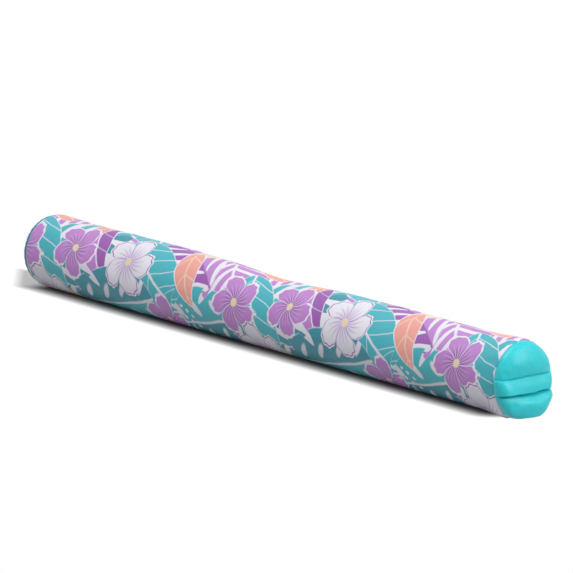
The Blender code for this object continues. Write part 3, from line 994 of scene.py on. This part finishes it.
@dataclass(frozen=True)
class Sleeve:
    """The printed tube."""

    around: int = 112
    along: int = 190
    crowding: float = 0.55
    print_shift: tuple[float, float] = (0.035, 0.14)
    puckers: Waves = ((31, 0.32, 0.4), (47, 0.28, 2.1), (19, 0.3, 1.1), (73, 0.12, 0.3))
    pucker_fade: float = 13 * MM
    pucker_start: float = 3 * MM
    gather_fade: float = 16 * MM

    def stations(self) -> list[float]:
        """Places along the tube, closer together near the seams."""
        evens = [2 * i / self.along - 1 for i in range(self.along + 1)]
        bents = [sin(pi * (i / self.along - 0.5)) for i in range(self.along + 1)]
        return [FORM.half * (self.crowding * b + (1 - self.crowding) * e) for b, e in zip(bents, evens)]

    def pucker(self, x: float, turn: float) -> float:
        """How far the gathers at a round seam push the cloth out or in."""
        back = FORM.half - abs(x)
        height = MM * ripple(turn + (0.7 if x > 0 else 0), self.puckers)
        return height * exp(-back / self.pucker_fade) * smooth(back / self.pucker_start)

    def unevenness(self, x: float, turn: float) -> float:
        """The slight lumps and hollows that the beads leave."""
        wide = sin(x * 31 + 1.3 * sin(turn * 2 + 0.8)) * sin(turn * 3 + x * 9)
        fine = sin(x * 83 + 2 * sin(turn + 1)) * sin(turn * 5 - x * 21 + 0.5)
        return MM * (0.5 * wide + 0.25 * fine)

    def build(self, finish: Material) -> Piece:
        """Makes the sleeve.

        Args:
            finish: Its material.

        Returns:
            The piece.
        """
        stations = self.stations()

        def station(share: float) -> tuple[float, bool]:
            """The place along the tube of a share of the grid, and whether the cloth is turned in there."""
            index = round(share * (self.along + 2)) - 1
            return stations[min(max(index, 0), self.along)], not 0 <= index <= self.along

        def spot(share: float, other: float) -> Point:
            """The place on the tube of a place on the cloth."""
            turn = 2 * pi * other
            x, inside = station(share)
            radius = FORM.body_radius(x) - FORM.drawn_in(x) + self.pucker(x, turn)
            radius += self.unevenness(x, turn) * smooth((0.35 - cos(turn)) / 0.5)
            radius *= 1 + FORM.gathered(turn) * exp(-(FORM.half - abs(x)) / self.gather_fade)
            radius *= FORM.tube_section(x, turn)
            if inside:
                radius -= FORM.turned_in
            z = max(0.0, FORM.body_radius(x) - FORM.rest_sink - radius * cos(turn))
            if abs(x) > FORM.half - MM / 10:
                x = copysign(FORM.half - FORM.seam_gap / 2, x)
            return (x, radius * sin(turn), z)

        skin = Skin.grid("printed_sleeve", self.along + 2, self.around, spot)
        for data in skin.data.uv_layers["cloth"].data:
            x, inside = station(data.uv.x)
            x += copysign(FORM.turned_in, x) if inside else 0
            around = data.uv.y * 2 * pi * FORM.radius
            data.uv = (x - self.print_shift[0], around - self.print_shift[1])
        Skin.weld(skin)
        Skin.thicken(skin, FORM.cloth)
        dress(skin, finish, "noodle", "printed_knit", ("sleeve",))
        return skin


@dataclass(frozen=True)
class Caps:
    """The turquoise ends: two lobes round the zip, and a plain dome at the far end."""

    slot: float = 11 * MM
    foot_share: float = 0.8
    spread: float = 0.035
    rows: int = 54
    columns: int = 80
    crowding: float = 1.35
    far_crowding: float = 1.6
    gather: Hump = (1, 0.03, 0.05)
    gathers: Waves = ((23, 0.25, 0.6), (37, 0.2, 1.9))
    far_gathers: Waves = ((29, 0.25, 0.6), (43, 0.2, 1.9))

    def row(self, share: float) -> int:
        """The row at a share of the grid, less than 0 for the two that are turned in behind the seam."""
        return round(share * (self.rows + 2)) - 2

    def lobe(self, name: str, side: int, node: str, finish: Material) -> Piece:
        """Makes the lobe above the zip on side 1, or below it on side -1.

        Args:
            name: The piece's name.
            side: The side of the zip.
            node: The CAD node that it stands for.
            finish: Its material.

        Returns:
            The piece.
        """
        radius = FORM.seam_radius
        edge = FORM.zip_rise + side * self.slot / 2
        chord = sqrt(radius**2 - edge**2)
        middle = pi if side > 0 else 0.0
        half = acos(side * edge / radius)
        foot = FORM.half + FORM.seam_gap / 2
        crease = FORM.upper_crease if side > 0 else FORM.lower_crease

        def spot(share: float, other: float) -> Point:
            """The place on the lobe of a place on the grid, from the round seam to the zip."""
            turn = half * (2 * share - 1)
            rim = (sin(middle + turn), -cos(middle + turn))
            row = self.row(other)
            if row < 0:
                inner = radius + FORM.turned_in * row / 2
                y, z = FORM.sectioned(inner * rim[0], inner * rim[1])
                return (foot, y, FORM.axis_height + z)
            step = (row / self.rows) ** self.crowding
            inner_y = -side * turn / half * self.foot_share * chord
            across = radius * rim[0] + (inner_y - radius * rim[0]) * step
            up = radius * rim[1] + (edge - radius * rim[1]) * step
            height = FORM.zip_dome(across, up)
            gather = ripple(turn, self.gathers) * MM * hump(step, self.gather)
            fullness = FORM.settled(up) * FORM.leaning(across) * height / (FORM.crown + FORM.sag)
            y, z = FORM.sectioned(across, up, 1 + self.spread * fullness)
            return (foot + height + gather, y, FORM.axis_height + z)

        def free(point: Vector) -> float:
            """How free a place is, away from the round seam, the zip and the ground."""
            y, z = point.y, point.z - FORM.axis_height
            rim = radius * FORM.section(atan2(y, -z)) - hypot(y, z)
            ground = point.z / (14 * MM) - 0.2
            return min(rim / (6 * MM), (abs(z - FORM.zip_rise) - crease) / (7 * MM), ground)

        skin = Skin.grid(name, self.columns, self.rows + 2, spot, (2 * half * radius, 90 * MM))
        return self.close(skin, 1, free, 2.4 * MM, 10 if side > 0 else 24, node, finish)

    def far(self, finish: Material) -> Piece:
        """Makes the plain dome at the far end.

        Args:
            finish: Its material.

        Returns:
            The piece.
        """
        radius = FORM.seam_radius
        foot = -FORM.half - FORM.seam_gap / 2

        def spot(share: float, other: float) -> Point:
            """The place on the dome of a place on the grid, from the round seam to the middle."""
            turn = 2 * pi * share
            row = self.row(other)
            step = (max(row, 0) / self.rows) ** self.far_crowding
            reach = radius * (1 - step) + FORM.turned_in * min(row, 0) / 2
            x = foot
            if row >= 0:
                gather = ripple(turn, self.far_gathers) * MM * hump(step, self.gather)
                x = foot - FORM.dome(reach, 0, FORM.far_crown, FORM.far_power) - gather
            reach *= 1 + FORM.gathered(turn) * (1 - step) ** 4
            return (x, reach * sin(turn), FORM.axis_height - reach * cos(turn))

        def free(point: Vector) -> float:
            """How free a place is, away from the round seam."""
            return (radius - hypot(point.y, point.z - FORM.axis_height)) / (5 * MM)

        skin = Skin.grid("far_cap", 96, self.rows + 2, spot)
        return self.close(skin, -1, free, 2 * MM, 0, "far_cap_panel", finish)

    @staticmethod
    def close(
        skin: Piece, side: int, free: Callable[[Vector], float], reach: float, passes: int,
        node: str, finish: Material,
    ) -> Piece:
        """Stuffs a cap, sets it on the ground and dresses it.

        Args:
            skin: The cap's grid.
            side: 1 for the zipped end, -1 for the far one.
            free: How free a point is to move.
            reach: The furthest that a point may move.
            passes: How often the small wrinkles are evened out.
            node: The CAD node that it stands for.
            finish: Its material.

        Returns:
            The piece.
        """
        Skin.weld(skin)
        Skin.face_out(skin, side)
        Skin.stuff(skin, free, reach, passes)
        Skin.thicken(skin, FORM.cloth)
        for vertex in skin.data.vertices:
            vertex.co.z = max(vertex.co.z, 0.0)
        dress(skin, finish, "noodle", "turquoise_knit", (node,))
        return skin


@dataclass(frozen=True)
class Flap:
    """The double-layer flap that hides the zip."""

    thickness: float = 1.6 * MM
    top: float = 13 * MM
    drop: float = 28 * MM
    lean: float = 5.3 * MM
    bulge: float = 2 * MM
    lift: Hump = (2.2 * MM, -40.8 * MM, 14 * MM)
    inset: float = 1.2 * MM
    run: float = 17 * MM
    pinch: float = 1.3 * MM
    pinch_run: float = 0.08
    seat: float = 0.3 * MM
    waves: Waves = ((60, 0.14, 0.2), (120, 0.16, 1.3), (300, 0.1, 2.2))

    def level(self, down: float) -> tuple[float, float]:
        """The height at a share of the flap's drop, from the cap's middle, and half of its width there."""
        z = FORM.zip_rise + self.top - self.drop * down
        return z, sqrt(FORM.seam_radius**2 - z**2) - self.inset / 2

    def face(self, across: float, down: float, chord: float) -> float:
        """Height of the inner face over the round seam.

        Args:
            across: Place along the zip.
            down: Share of the flap's drop.
            chord: Half of the flap's width at that height.

        Returns:
            The height, in metres.
        """
        middle = sin(pi * down)
        reach = self.lean * down + self.bulge * middle - self.pinch * exp(-down / self.pinch_run)
        reach += hump(across, self.lift) * down
        reach += ripple(across, self.waves) * MM * middle
        seat = FORM.seam_gap / 2 + FORM.valley + self.seat
        return (seat + reach) * flank((chord - abs(across)) / self.run)

    def build(self, finish: Material) -> Piece:
        """Makes the flap.

        Args:
            finish: Its material.

        Returns:
            The piece.
        """

        def spot(share: float, down: float) -> Point:
            """The place on the flap of a place on the cloth."""
            z, chord = self.level(down)
            across = -chord * cos(pi * share)
            y, z = FORM.sectioned(across, z)
            return (FORM.half + self.face(across, down, chord), y, FORM.axis_height + z)

        skin = Skin.grid("flap", 96, 16, spot, (2 * (FORM.seam_radius - self.inset), self.drop))
        Skin.face_out(skin)
        Skin.thicken(skin, self.thickness, outwards=True)
        dress(skin, finish, "flap", "turquoise_knit", ("zip_flap",))
        return skin


@dataclass(frozen=True)
class Lining:
    """The inner bag and the beads in it, which follow the outer skin from inside."""

    around: int = 64
    along: int = 70
    dome_rows: int = 14
    neck: float = 60 * MM
    neck_depth: float = 3 * MM
    end_gap: float = 6 * MM
    edge_run: float = 12 * MM
    clear: float = 1.2 * MM
    crown: float = 17.4 * MM
    valley: float = 10.6 * MM
    valley_floor: float = 24 * MM
    valley_edge: float = 46 * MM
    bag_depth: float = 2.6 * MM
    bag_cloth: float = 0.6 * MM

    def dome(self, y: float, z: float, near: bool) -> float:
        """Height of the bag's end over the round seam, held back along the zip at the near end.

        Args:
            y: Place across, from the end's middle.
            z: Place up, from the end's middle.
            near: Whether it is the zipped end.

        Returns:
            The height.
        """
        reach = min(1.0, hypot(y, z) / self.neck)
        whole = self.crown * (1 - reach**4) ** 0.25
        chord = sqrt(max(0.0, self.neck**2 - z**2))
        trough = self.valley * flank((chord - abs(y)) / FORM.flank_run)
        fade = smooth((self.valley_edge - abs(z - FORM.zip_rise)) / (self.valley_edge - self.valley_floor))
        return whole + (trough - whole) * fade if near else whole

    def build(self, name: str, depth: float, nodes: tuple[str, ...], slot: str, finish: Material) -> Piece:
        """Makes the bag, or the beads, at a depth under the sleeve's outer face.

        Args:
            name: The piece's name.
            depth: How deep it lies under the sleeve's outer face.
            nodes: The CAD nodes that it stands for.
            slot: Its material slot.
            finish: Its material.

        Returns:
            The piece.
        """
        inner = depth - self.bag_depth
        short = 1 - self.end_gap / FORM.half
        tube = [FORM.half * (2 * i / self.along - 1) * short for i in range(self.along + 1)]
        domes = [i / self.dome_rows for i in range(self.dome_rows)]
        rings = [("dome", -1, value) for value in domes] + [("neck", -1, 1.0)]
        rings += [("tube", 0, x) for x in tube]
        rings += [("neck", 1, 1.0)] + [("dome", 1, value) for value in reversed(domes)]
        count = len(rings) - 1

        def spot(share: float, other: float) -> Point:
            """The place on the bag of a place on the grid."""
            kind, side, value = rings[round(share * count)]
            turn = 2 * pi * other
            if kind == "tube":
                centre = FORM.body_radius(value) - FORM.rest_sink
                radius = FORM.body_radius(value) - depth - self.clear
                radius -= self.neck_depth * smooth(1 - (FORM.half - abs(value)) / self.edge_run)
                radius *= FORM.tube_section(value, turn)
                return (value, radius * sin(turn), max(depth, centre - radius * cos(turn)))
            reach = (self.neck - inner) * sin(pi / 2 * value) ** 0.8
            y, z = reach * sin(turn), -reach * cos(turn)
            height = -self.neck_depth if kind == "neck" else self.dome(y, z, side > 0) - inner
            if side > 0:
                y, z = FORM.sectioned(y, z)
            return (side * (FORM.half + height), y, FORM.axis_height + z)

        skin = Skin.grid(name, count, self.around, spot)
        Skin.weld(skin)
        if inner == 0:
            Skin.thicken(skin, self.bag_cloth)
        shade(skin)
        dress(skin, finish, "noodle", slot, nodes)
        return skin


@dataclass(frozen=True)
class Zip:
    """The zip under the flap: tapes, coils, stops and slider."""

    tape_top: float = 13.6 * MM
    tape_foot: float = 1.55 * MM
    tape_flat: float = 50 * MM
    tape_end: float = 16 * MM
    tape_bend: float = 12 * MM
    tape_edge: float = 0.8 * MM
    tape_width: float = 14 * MM
    tape: float = 0.6 * MM
    tape_wave: float = 0.12 * MM
    pitch: float = 2.5 * MM
    wire: float = 0.84 * MM
    coil_width: float = 3.4 * MM
    coil_height: float = 1.05 * MM
    coil_cross: float = 0.55 * MM
    coil_seat: float = 0.2 * MM
    steps: int = 14
    crease: float = radians(35)

    @property
    def line(self) -> float:
        """Height of the zip line over the ground."""
        return FORM.axis_height + FORM.zip_rise

    def tape_cloth(self, name: str, side: int, node: str, finish: Material) -> Piece:
        """Makes one tape, flat where the slider runs and bent down into the round seam.

        Args:
            name: The piece's name.
            side: 1 above the zip, -1 below it.
            node: The CAD node that it stands for.
            finish: Its material.

        Returns:
            The piece.
        """
        flat = self.tape_flat
        run = flat + self.tape_end

        def spot(share: float, other: float) -> Point:
            """The place on the tape of a place on the cloth."""
            along = (2 * share - 1) * run
            turn = within((abs(along) - flat) / (run - flat)) * pi / 2
            y = min(abs(along), flat) + self.tape_bend * sin(turn)
            height = self.tape_foot + (self.tape_top - self.tape_foot) * cos(turn)
            y *= 1 - FORM.oval * smooth((y - 46 * MM) / (12 * MM))
            wave = self.tape_wave * sin(along * 420) * other
            across = side * (self.tape_edge + self.tape_width * other)
            return (FORM.half + height - wave, copysign(y, along), self.line + across)

        skin = Skin.grid(name, 120, 10, spot, (2 * run, self.tape_width))
        Skin.face_out(skin)
        Skin.thicken(skin, self.tape)
        dress(skin, finish, "noodle", "zip_tape", (node,))
        return skin

    def coil(self, name: str, side: int, node: str, finish: Material) -> Piece:
        """Makes one coil, whose heads lie between the other coil's.

        Args:
            name: The piece's name.
            side: 1 above the zip, -1 below it.
            node: The CAD node that it stands for.
            finish: Its material.

        Returns:
            The piece.
        """
        low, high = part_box(node)
        start = low.y + self.wire / 2
        turns = round((high.y - low.y - self.wire) / self.pitch)
        middle = self.tape_top + self.coil_seat + self.wire / 2 + self.coil_height / 2
        curve = bpy.data.curves.new(name, "CURVE")
        curve.dimensions = "3D"
        curve.bevel_depth = self.wire / 2
        curve.bevel_resolution = 1
        curve.use_fill_caps = True
        spline = curve.splines.new("POLY")
        spline.points.add(turns * self.steps)
        for index, point in enumerate(spline.points):
            turn = 2 * pi * (index / self.steps + 1 / 12)
            wide = copysign(abs(cos(turn)) ** 0.8, cos(turn))
            across = side * (self.coil_width / 2 - self.coil_cross - self.coil_width / 2 * wide)
            height = middle - self.coil_height / 2 * sin(turn)
            point.co = (FORM.half + height, start + self.pitch * index / self.steps, self.line + across, 1)
        made = bpy.data.objects.new(name, curve)
        bpy.context.scene.collection.objects.link(made)
        pick(made)
        bpy.ops.object.convert(target="MESH")
        made = bpy.context.object
        bpy.ops.object.shade_smooth_by_angle(angle=radians(50))
        return dress(made, finish, "noodle", "nylon_coil", (node,))

    def rounded(self, name: str, node: str, body: str, slot: str, width: float, finish: Material) -> Piece:
        """Makes a metal piece from its CAD node, with its edges rounded as plating leaves them.

        Args:
            name: The piece's name.
            node: The CAD node that it stands for.
            body: The body that it rides on.
            slot: Its material slot.
            width: How far the rounding reaches.
            finish: Its material.

        Returns:
            The piece.
        """
        made = bpy.data.objects.new(name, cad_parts[node].data.copy())
        made.data.name = name
        bpy.context.scene.collection.objects.link(made)
        with editing(made):
            bpy.ops.mesh.remove_doubles(threshold=0.002 * MM)
            bpy.ops.mesh.tris_convert_to_quads()
        edge = made.modifiers.new("rounding", "BEVEL")
        edge.width = width
        edge.segments = 2
        edge.limit_method = "ANGLE"
        edge.angle_limit = self.crease
        bpy.ops.object.modifier_apply(modifier=edge.name)
        bpy.ops.object.shade_smooth_by_angle(angle=self.crease)
        return dress(made, finish, body, slot, (node,))

    def build(self) -> list[Piece]:
        """Makes the zip's pieces.

        Returns:
            The pieces.
        """
        nickel = Metal("nickel_plate", (0.49, 0.49, 0.51), 0.33).build()
        spring = Metal("spring_steel_strip", (0.42, 0.42, 0.45), 0.3).build()
        nylon = Plastic("teal_nylon", (0.1, 0.55, 0.62)).build()
        tape = Woven("teal_tape", (0.09, 0.58, 0.66), 0.6 * MM, 0.5 * MM).build()
        pieces = []
        for place, side in (("upper", 1), ("lower", -1)):
            pieces.append(self.tape_cloth(f"{place}_tape", side, f"zip_tape_{place}", tape))
            pieces.append(self.coil(f"{place}_coil", side, f"zip_coil_{place}", nylon))
            name, stop = f"{place}_top_stop", f"zip_top_stop_{place}"
            pieces.append(self.rounded(name, stop, "noodle", "slider_metal", 0.15 * MM, nickel))
        for name, node, body, slot, width, finish in (
            ("bottom_stop", "zip_bottom_stop", "noodle", "slider_metal", 0.15 * MM, nickel),
            ("slider", "slider_body", "zip_slider", "slider_metal", 0.14 * MM, nickel),
            ("bridge", "slider_bridge", "zip_slider", "slider_metal", 0.14 * MM, nickel),
            ("lock_spring", "slider_lock_spring", "zip_slider", "spring_steel", 0.06 * MM, spring),
        ):
            pieces.append(self.rounded(name, node, body, slot, width, finish))
        return pieces


@dataclass(frozen=True)
class Stitches:
    """Rows of lockstitch in a thread of the caps' colour."""

    length: float = 2.5 * MM
    gap: float = 0.5 * MM
    thread: float = 0.5 * MM
    start: float = 0.5 * MM
    lift: float = 0.2 * MM
    sag: float = 0.12 * MM
    flap_down: float = 0.17
    flap_share: float = 0.93
    flap_steps: int = 160
    flap_probe: float = 0.5 * MM
    flap_clear: float = 0.1 * MM
    tape_rise: float = 7.5 * MM
    tape_half: float = 46 * MM
    tape_steps: int = 120

    def one(self) -> tuple[np.ndarray, list[tuple[int, ...]]]:
        """Makes one stitch along X, of a few dozen faces.

        Returns:
            Its points and its faces.
        """
        pick()
        depth = self.length - self.thread
        bpy.ops.mesh.primitive_cylinder_add(vertices=6, radius=self.thread / 2, depth=depth)
        made = bpy.context.object
        with editing(made, "DESELECT"):
            bpy.ops.mesh.select_mode(type="FACE")
        for face in made.data.polygons:
            face.select = abs(face.normal.z) > 0.9
        with editing(made, None):
            bpy.ops.mesh.inset(thickness=self.thread * 0.16, depth=self.thread * 0.3)
        corners = np.array([(v.co.z, v.co.x, v.co.y) for v in made.data.vertices])
        faces = [tuple(face.vertices) for face in made.data.polygons]
        bpy.data.objects.remove(made)
        return corners, faces

    def row(self, name: str, path: list[Point], out: list[Point], body: str, finish: Material) -> Piece:
        """Makes a row of stitches along a path.

        Args:
            name: The row's name.
            path: Close points along the cloth's outer face.
            out: The cloth's outward direction at each point.
            body: The body that it rides on.
            finish: The thread's material.

        Returns:
            The row as one piece.
        """
        stitch, faces = self.one()
        spots, outs = np.array(path), np.array(out)
        steps = np.linalg.norm(np.diff(spots, axis=0), axis=1)
        places = np.concatenate([[0], np.cumsum(steps)])
        pitch = self.length + self.gap
        corners, sides = [], []
        for index in range(int((places[-1] - self.length) / pitch)):
            middle = self.length / 2 + pitch * index + self.start
            ends = [middle - self.length / 2, middle + self.length / 2]
            low, high = (np.array([np.interp(end, places, spots[:, k]) for k in range(3)]) for end in ends)
            up = np.array([np.interp(middle, places, outs[:, k]) for k in range(3)])
            along = (high - low) / np.linalg.norm(high - low)
            up = up - along * up.dot(along)
            up /= np.linalg.norm(up)
            turned = stitch[:, :1] * along + stitch[:, 1:2] * np.cross(up, along) + stitch[:, 2:] * up
            sag = self.sag * (2 * stitch[:, :1] / self.length) ** 2
            base = len(corners) * len(stitch)
            corners.append((low + high) / 2 + turned + up * self.lift - up * sag)
            sides += [tuple(base + corner for corner in face) for face in faces]
        mesh = bpy.data.meshes.new(name)
        mesh.from_pydata(np.concatenate(corners).tolist(), [], sides)
        made = bpy.data.objects.new(name, mesh)
        bpy.context.scene.collection.objects.link(made)
        shade(made)
        return dress(made, finish, body, "turquoise_knit")

    def build(self, flap: Flap, finish: Material) -> list[Piece]:
        """Makes the row along the flap's seam and the rows that hold the tapes to the lobes.

        Args:
            flap: The flap that the first row is on.
            finish: The thread's material.

        Returns:
            The three rows.
        """
        z, chord = flap.level(self.flap_down)
        path, outs = [], []
        for index in range(self.flap_steps + 1):
            across = chord * self.flap_share * (2 * index / self.flap_steps - 1)
            y, up = FORM.sectioned(across, z)
            reach = flap.face(across, self.flap_down, chord)
            ahead = flap.face(across + self.flap_probe, self.flap_down, chord)
            path.append((FORM.half + reach + flap.thickness + self.flap_clear, y, FORM.axis_height + up))
            outs.append((1.0, -(ahead - reach) / self.flap_probe, 0.0))
        rows = [self.row("flap_topstitch", path, outs, "flap", finish)]
        foot = FORM.half + FORM.seam_gap / 2
        outs = [(1.0, 0.0, 0.0)] * (self.tape_steps + 1)
        for place, side in (("upper", 1), ("lower", -1)):
            z = FORM.zip_rise + side * self.tape_rise
            spots = [self.tape_half * (2 * i / self.tape_steps - 1) for i in range(self.tape_steps + 1)]
            path = [(foot + FORM.zip_dome(across, z), across, FORM.axis_height + z) for across in spots]
            rows.append(self.row(f"{place}_tape_stitches", path, outs, "noodle", finish))
        return rows


@dataclass(frozen=True)
class Studio:
    """The floor, the lights and the camera.

    The camera's values are those fitted to the photograph, its focal length, image and offset in pixels.
    Outside the shadow the floor turns white to the camera. It does so from core to core plus edge from a
    line under the noodle, which ends at near and far, and more slowly past its far end. It also turns partly
    white beyond the far end, and white past a slanted line behind it. The floor sends bounce back to the
    noodle and shows shadow to the camera.
    """

    azimuth: float = radians(50.49)
    elevation: float = radians(13.17)
    distance: float = 14.941
    target: Point = (0, 0, 0.069)
    focal: float = 7999.7
    image: int = 573
    sensor: float = 36
    offset: tuple[float, float] = (-6.97, 25.90)
    near: float = 0.61
    far: float = 0.7
    far_stretch: float = 0.42
    core: float = 0.018
    edge: float = 0.052
    edge_power: float = 2.8
    beyond: tuple[float, float, float] = (0.672, 0.05, 0.38)
    slanted: tuple[float, float, float, float] = (-0.64, 0.77, 0.486, 0.034)
    bounce: Rgb = (0.44, 0.44, 0.44)
    shadow: Rgb = (0.26, 0.26, 0.26)
    aim: Point = (0, 0, 0.07)
    lamps: tuple[tuple[str, Point, tuple[float, float], float], ...] = (
        ("overhead", (0.0, -1.1, 3.1), (3.6, 1.8), 79),
        ("side_fill", (3.7, 1.2, 2.2), (1.2, 1.2), 45),
        ("low_side", (4.2, 1.9, 1.55), (0.8, 0.8), 38),
    )

    def open_floor(self, x: Signal, y: Signal) -> Signal:
        """How far a place on the floor is out of the noodle's shadow.

        Args:
            x: Place along the noodle.
            y: Place across it.

        Returns:
            0 in the shadow, and 1 where the floor is white.
        """
        side = (x - self.near).most((0 - x - self.far) * self.far_stretch).most(0)
        around = ((side * side + y * y) ** 0.5 - self.core).ramp(1 / self.edge, 0) ** self.edge_power
        start, run, most = self.beyond
        beyond = (0 - x - start).ramp(1 / run, 0) * most
        along, across, start, run = self.slanted
        slanted = (x * along - y * across - start).ramp(1 / run, 0)
        return around.most(beyond).most(slanted)

    def floor(self) -> None:
        """A pale floor that is white to the camera outside the noodle's shadow."""
        pick()
        bpy.ops.mesh.primitive_plane_add(size=60, location=(0, 0, -0.1 * MM))
        made = bpy.context.object
        made.name = "floor"
        made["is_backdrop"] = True
        nodes = Nodes("floor")
        nodes.tree.nodes.remove(nodes.tree.nodes["Principled BSDF"])
        seen = nodes.seen()
        diffuse = nodes.add("BsdfDiffuse", nodes.mix(seen, self.bounce, self.shadow))
        glow = nodes.add("Emission", (1, 1, 1))
        white = seen * self.open_floor(*nodes.parts(nodes.place())[:2])
        blend = nodes.add("MixShader", white, diffuse.outputs[0], glow.outputs[0])
        nodes.feed(nodes.tree.nodes["Material Output"].inputs["Surface"], blend.outputs[0])
        made.data.materials.append(nodes.material)

    def light(self) -> None:
        """Soft lamps that look at the noodle."""
        for name, place, size, power in self.lamps:
            data = bpy.data.lights.new(name, "AREA")
            data.shape = "RECTANGLE"
            data.size, data.size_y = size
            data.energy = power
            made = bpy.data.objects.new(name, data)
            bpy.context.scene.collection.objects.link(made)
            made.location = place
            made.rotation_euler = (Vector(self.aim) - Vector(place)).to_track_quat("-Z", "Y").to_euler()

    def world(self) -> None:
        """A soft surround that is brighter above and on the zipped side, and pure white to the camera."""
        world = bpy.data.worlds.new("surround")
        bpy.context.scene.world = world
        world.use_nodes = True
        nodes = Nodes("surround", world.node_tree)
        x, _, z = nodes.parts(nodes.add("TexCoord").outputs["Generated"])
        level = nodes.math("MULTIPLY_ADD", z, 0.1, 0.22) + x * 0.1
        back = world.node_tree.nodes["Background"].inputs
        back["Color"].default_value = (1, 1, 1, 1)
        nodes.feed(back["Strength"], level + (1 - level) * nodes.seen())

    def camera(self) -> None:
        """The camera at the photograph's angle."""
        flat = cos(self.elevation)
        back = Vector((sin(self.azimuth) * flat, -cos(self.azimuth) * flat, sin(self.elevation)))
        made = bpy.data.objects.new("camera", bpy.data.cameras.new("camera"))
        bpy.context.scene.collection.objects.link(made)
        made.location = back * self.distance + Vector(self.target)
        made.rotation_euler = (-back).to_track_quat("-Z", "Y").to_euler()
        made.data.sensor_width = self.sensor
        made.data.lens = self.focal / self.image * self.sensor
        made.data.shift_x = -self.offset[0] / self.image
        made.data.shift_y = self.offset[1] / self.image
        made.data.clip_end = 100
        bpy.context.scene.camera = made

    def build(self) -> None:
        """Sets up the whole studio."""
        self.floor()
        self.light()
        self.world()
        self.camera()
        bpy.context.scene.view_settings.view_transform = "Standard"


class Bounds:
    """The CAD's box, kept before dressing."""

    def __init__(self) -> None:
        """Keeps the CAD's box."""
        self.cad = self.plain(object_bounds())

    @staticmethod
    def plain(box: object) -> list[list[float]]:
        """A box as plain lists."""
        return [[float(value) for value in corner] for corner in box]

    def write(self) -> None:
        """Brings the view layer up to date."""
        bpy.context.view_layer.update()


def main() -> None:
    """Builds the pieces in order and reports each."""
    logging.basicConfig(level=logging.INFO, format="%(message)s")
    bounds = Bounds()
    Studio().build()
    printed = PrintedKnit("printed_knit_cloth").build()
    plain = PlainKnit("turquoise_knit_cloth", roughness=0.38, gloss=0.5).build()
    lining = Woven("white_lining", (0.78, 0.78, 0.77), 0.5 * MM).build()
    beads = Beads("packed_beads").build()
    thread = Plastic("teal_thread", (0.03, 0.66, 0.72)).build()
    pieces = [Sleeve().build(printed)]
    caps = Caps()
    pieces.append(caps.lobe("upper_cap_lobe", 1, "near_cap_upper_panel", plain))
    pieces.append(caps.lobe("lower_cap_lobe", -1, "near_cap_lower_panel", plain))
    # The far cap's knit is a darker copy of the turquoise: painted shade for the end that faces away from the
    # lamps.
    pieces.append(caps.far(PlainKnit("painted_shade_turquoise_knit_cloth", colour=(0.012, 0.26, 0.33)).build()))
    flap = Flap()
    pieces.append(flap.build(plain))
    pieces += Zip().build()
    pieces += Stitches().build(flap, thread)
    bag = ("liner_tube", "liner_near_disc", "liner_far_disc")
    pieces.append(Lining().build("liner_bag", 2.6 * MM, bag, "liner_cloth", lining))
    pieces.append(Lining().build("packed_bead_fill", 3.8 * MM, ("bead_fill",), "foam_beads", beads))
    for piece in pieces:
        log.info("%s: %d points", piece.name, len(piece.data.vertices))
    bounds.write()


if __name__ == "__main__":
    main()
